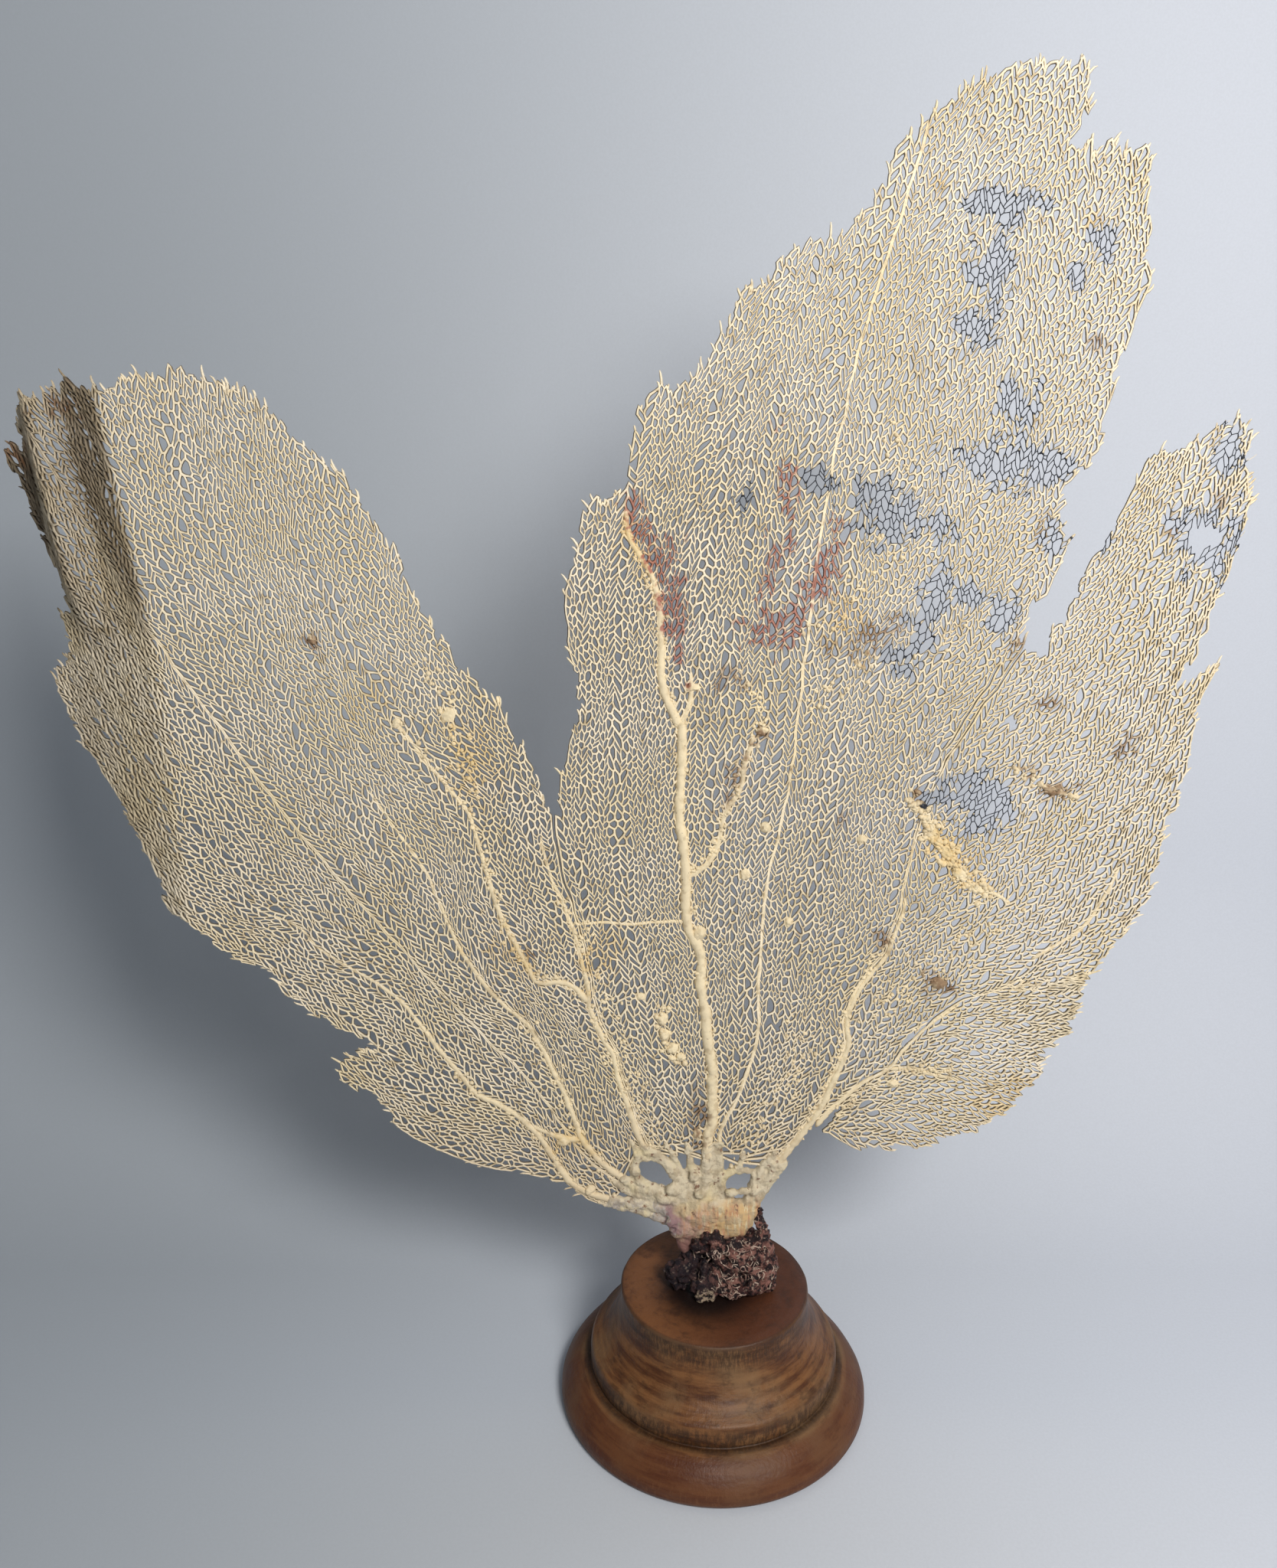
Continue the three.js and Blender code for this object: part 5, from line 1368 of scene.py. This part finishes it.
def net_material(name, cream, painted_side_shade):
    """Chalky cream crust over a dark horny thread that shows where the crust is lost, with painted shade.
    """
    s = Shader(name, 0.78, 0.25)
    straw, tan = (0.82, 0.69, 0.455), (0.58, 0.465, 0.29)
    x, _, z = s.axes()
    base = s.mix(s.ramp(s.noise(0.035, 3), 0.35, 0.68), cream, straw)
    base = s.mix(s.ramp(s.noise(0.0035, 4), 0.48, 0.72), base, tan)
    base = s.mix(s.times(s.ramp(z, 0.150, 0.095), 0.5), base, (0.66, 0.52, 0.34))
    base = painted_fold_shade(s, base, x, z)
    base = s.mix(s.times(s.attribute("orange"), 0.45), base, (0.66, 0.44, 0.14))
    purple = s.times(s.ramp(s.attribute("purple"), 0.0, 0.5), s.ramp(s.noise(0.003, 3), 0.34, 0.52))
    base = s.mix(s.times(purple, 0.85), base, (0.34, 0.105, 0.085))
    brown = s.times(s.attribute("brown"), s.ramp(s.noise(0.003, 4), 0.34, 0.52))
    base = s.mix(s.times(brown, 0.8), base, (0.17, 0.075, 0.032))
    speck = s.ramp(s.noise(0.0024, 2), 0.68, 0.75)
    base = s.mix(s.times(speck, 0.6), base, (0.18, 0.11, 0.06))
    # Painted shade: each strand darkens from its crest towards its sides, where they turn from the light
    side = s.times(s.ramp(s.attribute("shade"), 0.40, 0.82), painted_side_shade)
    base = s.mix(side, base, (0.060, 0.041, 0.023))
    bare = s.ramp(s.attribute("bare"), 0.15, 0.45)
    base = s.mix(bare, base, (0.022, 0.025, 0.034))
    s.colour(base)
    s.roughness(s.ramp(bare, 0, 1, 0.8, 0.38))
    s.bump(s.noise(0.0011, 5, 0.6), 0.0003, 0.8)
    return s.material


def trunk_material():
    """Peach and mauve foot with orange streaks that turns to the net's cream above."""
    s = Shader("stem_skin", 0.7, 0.25)
    x, _, z = s.axes()
    cream, peach = (0.68, 0.58, 0.41), (0.58, 0.38, 0.27)
    orange, mauve = (0.64, 0.43, 0.21), (0.31, 0.19, 0.19)
    streaks = s.noise(0.006, 4, stretch=(2.6, 1, 0.45))
    ragged_x = s.plus(x, s.times(streaks, 0.012))
    low = s.mix(s.ramp(ragged_x, -0.001, 0.007), peach, orange)
    low = s.mix(s.ramp(streaks, 0.50, 0.62), low, (0.56, 0.30, 0.16))
    low = s.mix(s.ramp(s.noise(0.0035, 3, stretch=(2.6, 1, 0.45)), 0.54, 0.66), low, (0.70, 0.58, 0.36))
    low = s.mix(s.ramp(ragged_x, -0.002, -0.012), low, mauve)
    far_left = s.ramp(x, -0.019, -0.026)
    low = s.mix(far_left, low, cream)
    pale = s.times(s.ramp(x, -0.014, -0.018), s.ramp(s.noise(0.004, 4), 0.46, 0.58))
    low = s.mix(pale, low, (0.50, 0.47, 0.46))
    edge = s.plus(z, s.times(s.noise(0.008, 3), 0.014))
    base = s.mix(s.ramp(edge, 0.097, 0.104), low, cream)
    base = s.mix(s.ramp(s.noise(0.012, 3), 0.50, 0.66, 0, 0.5), base, (0.66, 0.54, 0.28))
    base = s.mix(s.ramp(s.noise(0.0040, 4), 0.46, 0.62, 0, 0.6), base, (0.40, 0.31, 0.20))
    base = s.mix(s.ramp(s.noise(0.0026, 3), 0.60, 0.72), base, (0.24, 0.14, 0.09))
    base = s.mix(s.ramp(edge, 0.087, 0.081), base, (0.24, 0.12, 0.10))
    s.colour(base)
    s.roughness(s.ramp(s.noise(0.004, 3), 0.3, 0.7, 0.45, 0.75))
    s.bump(s.noise(0.0012, 6, 0.65), 0.0008, 1.0)
    return s.material


def crust_material():
    """Red-brown crust with near-black patches, darkest low on its left, and pale scabs on the right."""
    s = Shader("crust_skin", 0.8, 0.3)
    x, y, z = s.axes()
    base = s.mix(s.ramp(s.noise(0.006, 4), 0.38, 0.62), (0.060, 0.021, 0.018), (0.29, 0.135, 0.105))
    base = s.mix(s.ramp(s.noise(0.0026, 4), 0.42, 0.56), base, (0.016, 0.008, 0.009))
    dark_side = s.ramp(s.plus(x, s.times(s.noise(0.01, 3), 0.012)), 0.010, 0.003)
    dark_side = s.times(dark_side, s.ramp(z, 0.076, 0.070))
    base = s.mix(s.times(dark_side, 0.8), base, (0.012, 0.008, 0.012))
    flecks = s.times(s.ramp(s.noise(0.0016, 3), 0.58, 0.66), s.ramp(x, -0.006, 0.010, 0.25, 0.8))
    base = s.mix(flecks, base, (0.46, 0.34, 0.26))
    front = s.times(s.ramp(y, -0.0122, -0.0142), s.ramp(x, 0.001, -0.001))
    base = s.mix(s.times(front, s.ramp(s.noise(0.002, 3), 0.44, 0.56)), base, (0.42, 0.32, 0.22))
    s.colour(base)
    s.roughness(s.ramp(s.noise(0.003, 3), 0.35, 0.65, 0.3, 0.9))
    s.bump(s.noise(0.0011, 6, 0.65), 0.0011, 1.0)
    return s.material


def worm_material():
    s = Shader("worm_tube", 0.75, 0.3)
    s.colour(s.mix(s.ramp(s.noise(0.003, 3), 0.4, 0.62), (0.50, 0.38, 0.30), (0.20, 0.10, 0.08)))
    s.bump(s.noise(0.0006, 3), 0.0002, 0.6)
    return s.material


def disc_colour(s, x, y, clouds, mottle):
    """The base's top: redder and darker to the right, with a dark stain and painted shadow round the
    holdfast.
    """
    disc = s.mix(s.ramp(s.plus(x, s.times(clouds, 0.02)), -0.016, 0.020),
                 (0.170, 0.068, 0.026), (0.088, 0.030, 0.014))
    disc = s.mix(s.ramp(mottle, 0.44, 0.70, 0.0, 0.7), disc, (0.050, 0.020, 0.011))
    # Painted shadow of the holdfast, with a stain: near black close round it
    stain_and_painted_shadow = s.plus(s.distance(s.plus(x, 0.004), s.plus(y, 0.004)), s.times(clouds, 0.008))
    return s.mix(s.ramp(stain_and_painted_shadow, 0.032, 0.016), disc, (0.010, 0.005, 0.004))


def worn_bands(s, base, z, upright):
    """Dark bands under the rims and in the groove, and a rubbed, redder foot."""
    under_rim = s.times(s.ramp(z, 0.0395, 0.047), s.ramp(z, 0.0525, 0.0515))
    low_band = s.times(s.ramp(z, 0.0165, 0.0175), s.ramp(z, 0.0270, 0.0225))
    worn = s.times(s.math("MAXIMUM", under_rim, low_band), s.ramp(upright, 0.34, 0.60))
    base = s.mix(s.times(worn, 0.75), base, (0.034, 0.018, 0.010))
    groove = s.times(s.ramp(z, 0.0163, 0.0170), s.ramp(z, 0.0182, 0.0174))
    base = s.mix(s.times(groove, 0.5), base, (0.014, 0.007, 0.004))
    foot = s.times(s.ramp(z, 0.0105, 0.0045), s.ramp(upright, 0.50, 0.62))
    base = s.mix(s.times(foot, 0.5), base, (0.25, 0.12, 0.05))
    return s.mix(s.times(s.ramp(z, 0.0168, 0.0150), 0.6), base, (0.085, 0.024, 0.010))


def wood_material():
    """Mottled brown wood with worn dark bands under the rims and a rubbed foot edge."""
    s = Shader("turned_wood", 0.45, 0.25)
    x, y, z = s.axes()
    radius = s.distance(x, y)
    angle = s.math("ARCTAN2", y, x)
    around = s.node("ShaderNodeCombineXYZ")
    s.put(around.inputs[0], s.times(angle, 0.05))
    s.put(around.inputs[1], radius)
    s.put(around.inputs[2], z)
    brushed = s.noise(0.008, 6, 0.65, place=around.outputs[0], stretch=(0.3, 2.4, 2.4))
    upright = s.noise(0.0018, 5, 0.7, place=around.outputs[0], stretch=(1.5, 0.5, 0.4))
    clouds = s.noise(0.03, 4, 0.55)
    mottle = s.noise(0.006, 5, 0.7, place=around.outputs[0], stretch=(0.6, 1.2, 1.2))
    brown, tan, dark = (0.070, 0.024, 0.009), (0.190, 0.082, 0.029), (0.020, 0.008, 0.004)
    base = s.mix(s.ramp(brushed, 0.34, 0.64), brown, tan)
    base = s.mix(s.times(s.ramp(clouds, 0.46, 0.68), 0.8), base, (0.205, 0.115, 0.052))
    base = s.mix(s.times(s.ramp(mottle, 0.50, 0.68), 0.45), base, dark)
    base = worn_bands(s, base, z, upright)
    base = s.mix(s.ramp(z, 0.0527, 0.0531), base, disc_colour(s, x, y, clouds, mottle))
    edge = s.times(s.ramp(radius, 0.0378, 0.039), s.ramp(z, 0.0505, 0.0525))
    base = s.mix(s.times(edge, 0.6), base, (0.050, 0.025, 0.015))
    s.colour(base)
    s.roughness(s.ramp(clouds, 0.3, 0.7, 0.36, 0.54))
    s.bump(s.plus(s.times(upright, 0.6), s.noise(0.0016, 4)), 0.0004, 0.5)
    return s.material


def paper_material():
    """Pale paper that falls into shade towards the left."""
    s = Shader("paper", 0.9, 0.2)
    x, _, _ = s.axes()
    lit, shaded = (0.69, 0.72, 0.785), (0.425, 0.46, 0.50)
    base = s.mix(s.ramp(x, -0.33, 0.33), shaded, lit)
    s.colour(s.mix(s.ramp(s.noise(0.0012, 3), 0.3, 0.7, 0, 0.06), base, (0.3, 0.3, 0.3)))
    s.clear_from_behind()
    return s.material


# The object

cream = net_material("net_crust", (0.885, 0.775, 0.59), 0.92)
rib_cream = net_material("rib_crust", (0.72, 0.60, 0.40), 0.5)
add_net("left_net", "left", [-0.6, 0, 1, 2, 3], cream)
add_net("left_inner_net", "left", [3, 4, 5, 6.45], cream)
add_net("stem_net", "centre", [6.55, 8, 9, 10, 11], cream)
add_net("upper_net", "centre", [11, 12, 13.45], cream)
add_net("right_net", "right", [13.55, 15, 16, 17, 17.9], cream)
add_net("lower_right_net", "lower_right", [16.9, 18, 19, 20, 21, 22, 23, 24.6], cream)
for blade in RIBS:
    add_ribs(blade, rib_cream)
add_trunk(trunk_material())
crust = add_holdfast(crust_material())
bpy.context.view_layer.update()
add_worm_tubes(crust, worm_material())
add_base(wood_material())


# Floor, backdrop, light and camera

def add_sweep(width=3.0, front=-1.2, wall=0.235, bend_radius=0.16, height=1.6):
    """A pale floor that curves up into a backdrop."""
    steps, bend_start = 12, wall - bend_radius
    line = [(front, 0.0), (front / 2, 0.0), (bend_start, 0.0)]
    for step in range(1, steps + 1):
        angle = math.pi / 2 * step / steps
        line.append((bend_start + bend_radius * math.sin(angle), bend_radius * (1 - math.cos(angle))))
    line.append((wall, height))
    places = [(side * width / 2, y, z) for y, z in line for side in (-1, 1)]
    faces = [(2 * k, 2 * k + 1, 2 * k + 3, 2 * k + 2) for k in range(len(line) - 1)]
    sweep = new_object("backdrop", places, faces, paper_material())


def add_light(name, place, target, size, power, colour):
    """A square area light that faces a target."""
    data = bpy.data.lights.new(name, "AREA")
    data.size = size
    data.energy = power
    data.color = colour
    light = bpy.data.objects.new(name, data)
    light.location = place
    light.rotation_euler = (Vector(target) - Vector(place)).to_track_quat("-Z", "Y").to_euler()
    bpy.context.scene.collection.objects.link(light)


def add_camera():
    """The photograph's view: focal length in pixels of a frame 1668 wide and 2048 high."""
    frame_height, focal, sensor = 2048, 1606, 24.0
    place, tilt_down = (-31.9, -438.6, 401.2), 16.42
    data = bpy.data.cameras.new("camera")
    data.sensor_fit = "VERTICAL"
    data.sensor_height = sensor
    data.lens = sensor * focal / frame_height
    data.clip_start = 0.01
    camera = bpy.data.objects.new("camera", data)
    camera.location = [value * MM for value in place]
    camera.rotation_euler = (math.radians(90 - tilt_down), 0, 0)
    bpy.context.scene.collection.objects.link(camera)
    bpy.context.scene.camera = camera


add_sweep()
add_light("window", (0.29, -0.70, 0.75), (-0.03, 0, 0.28), 0.3, 8.6, (1.0, 0.98, 0.95))
add_light("fill", (-0.2, -1.3, 0.9), (0, 0, 0.25), 1.2, 1.2, (0.9, 0.95, 1.0))
world = bpy.data.worlds.new("room")
world.use_nodes = True
world.node_tree.nodes["Background"].inputs["Color"].default_value = (0.68, 0.71, 0.76, 1)
world.node_tree.nodes["Background"].inputs["Strength"].default_value = 0.22
bpy.context.scene.world = world
bpy.context.scene.view_settings.view_transform = "Standard"
add_camera()
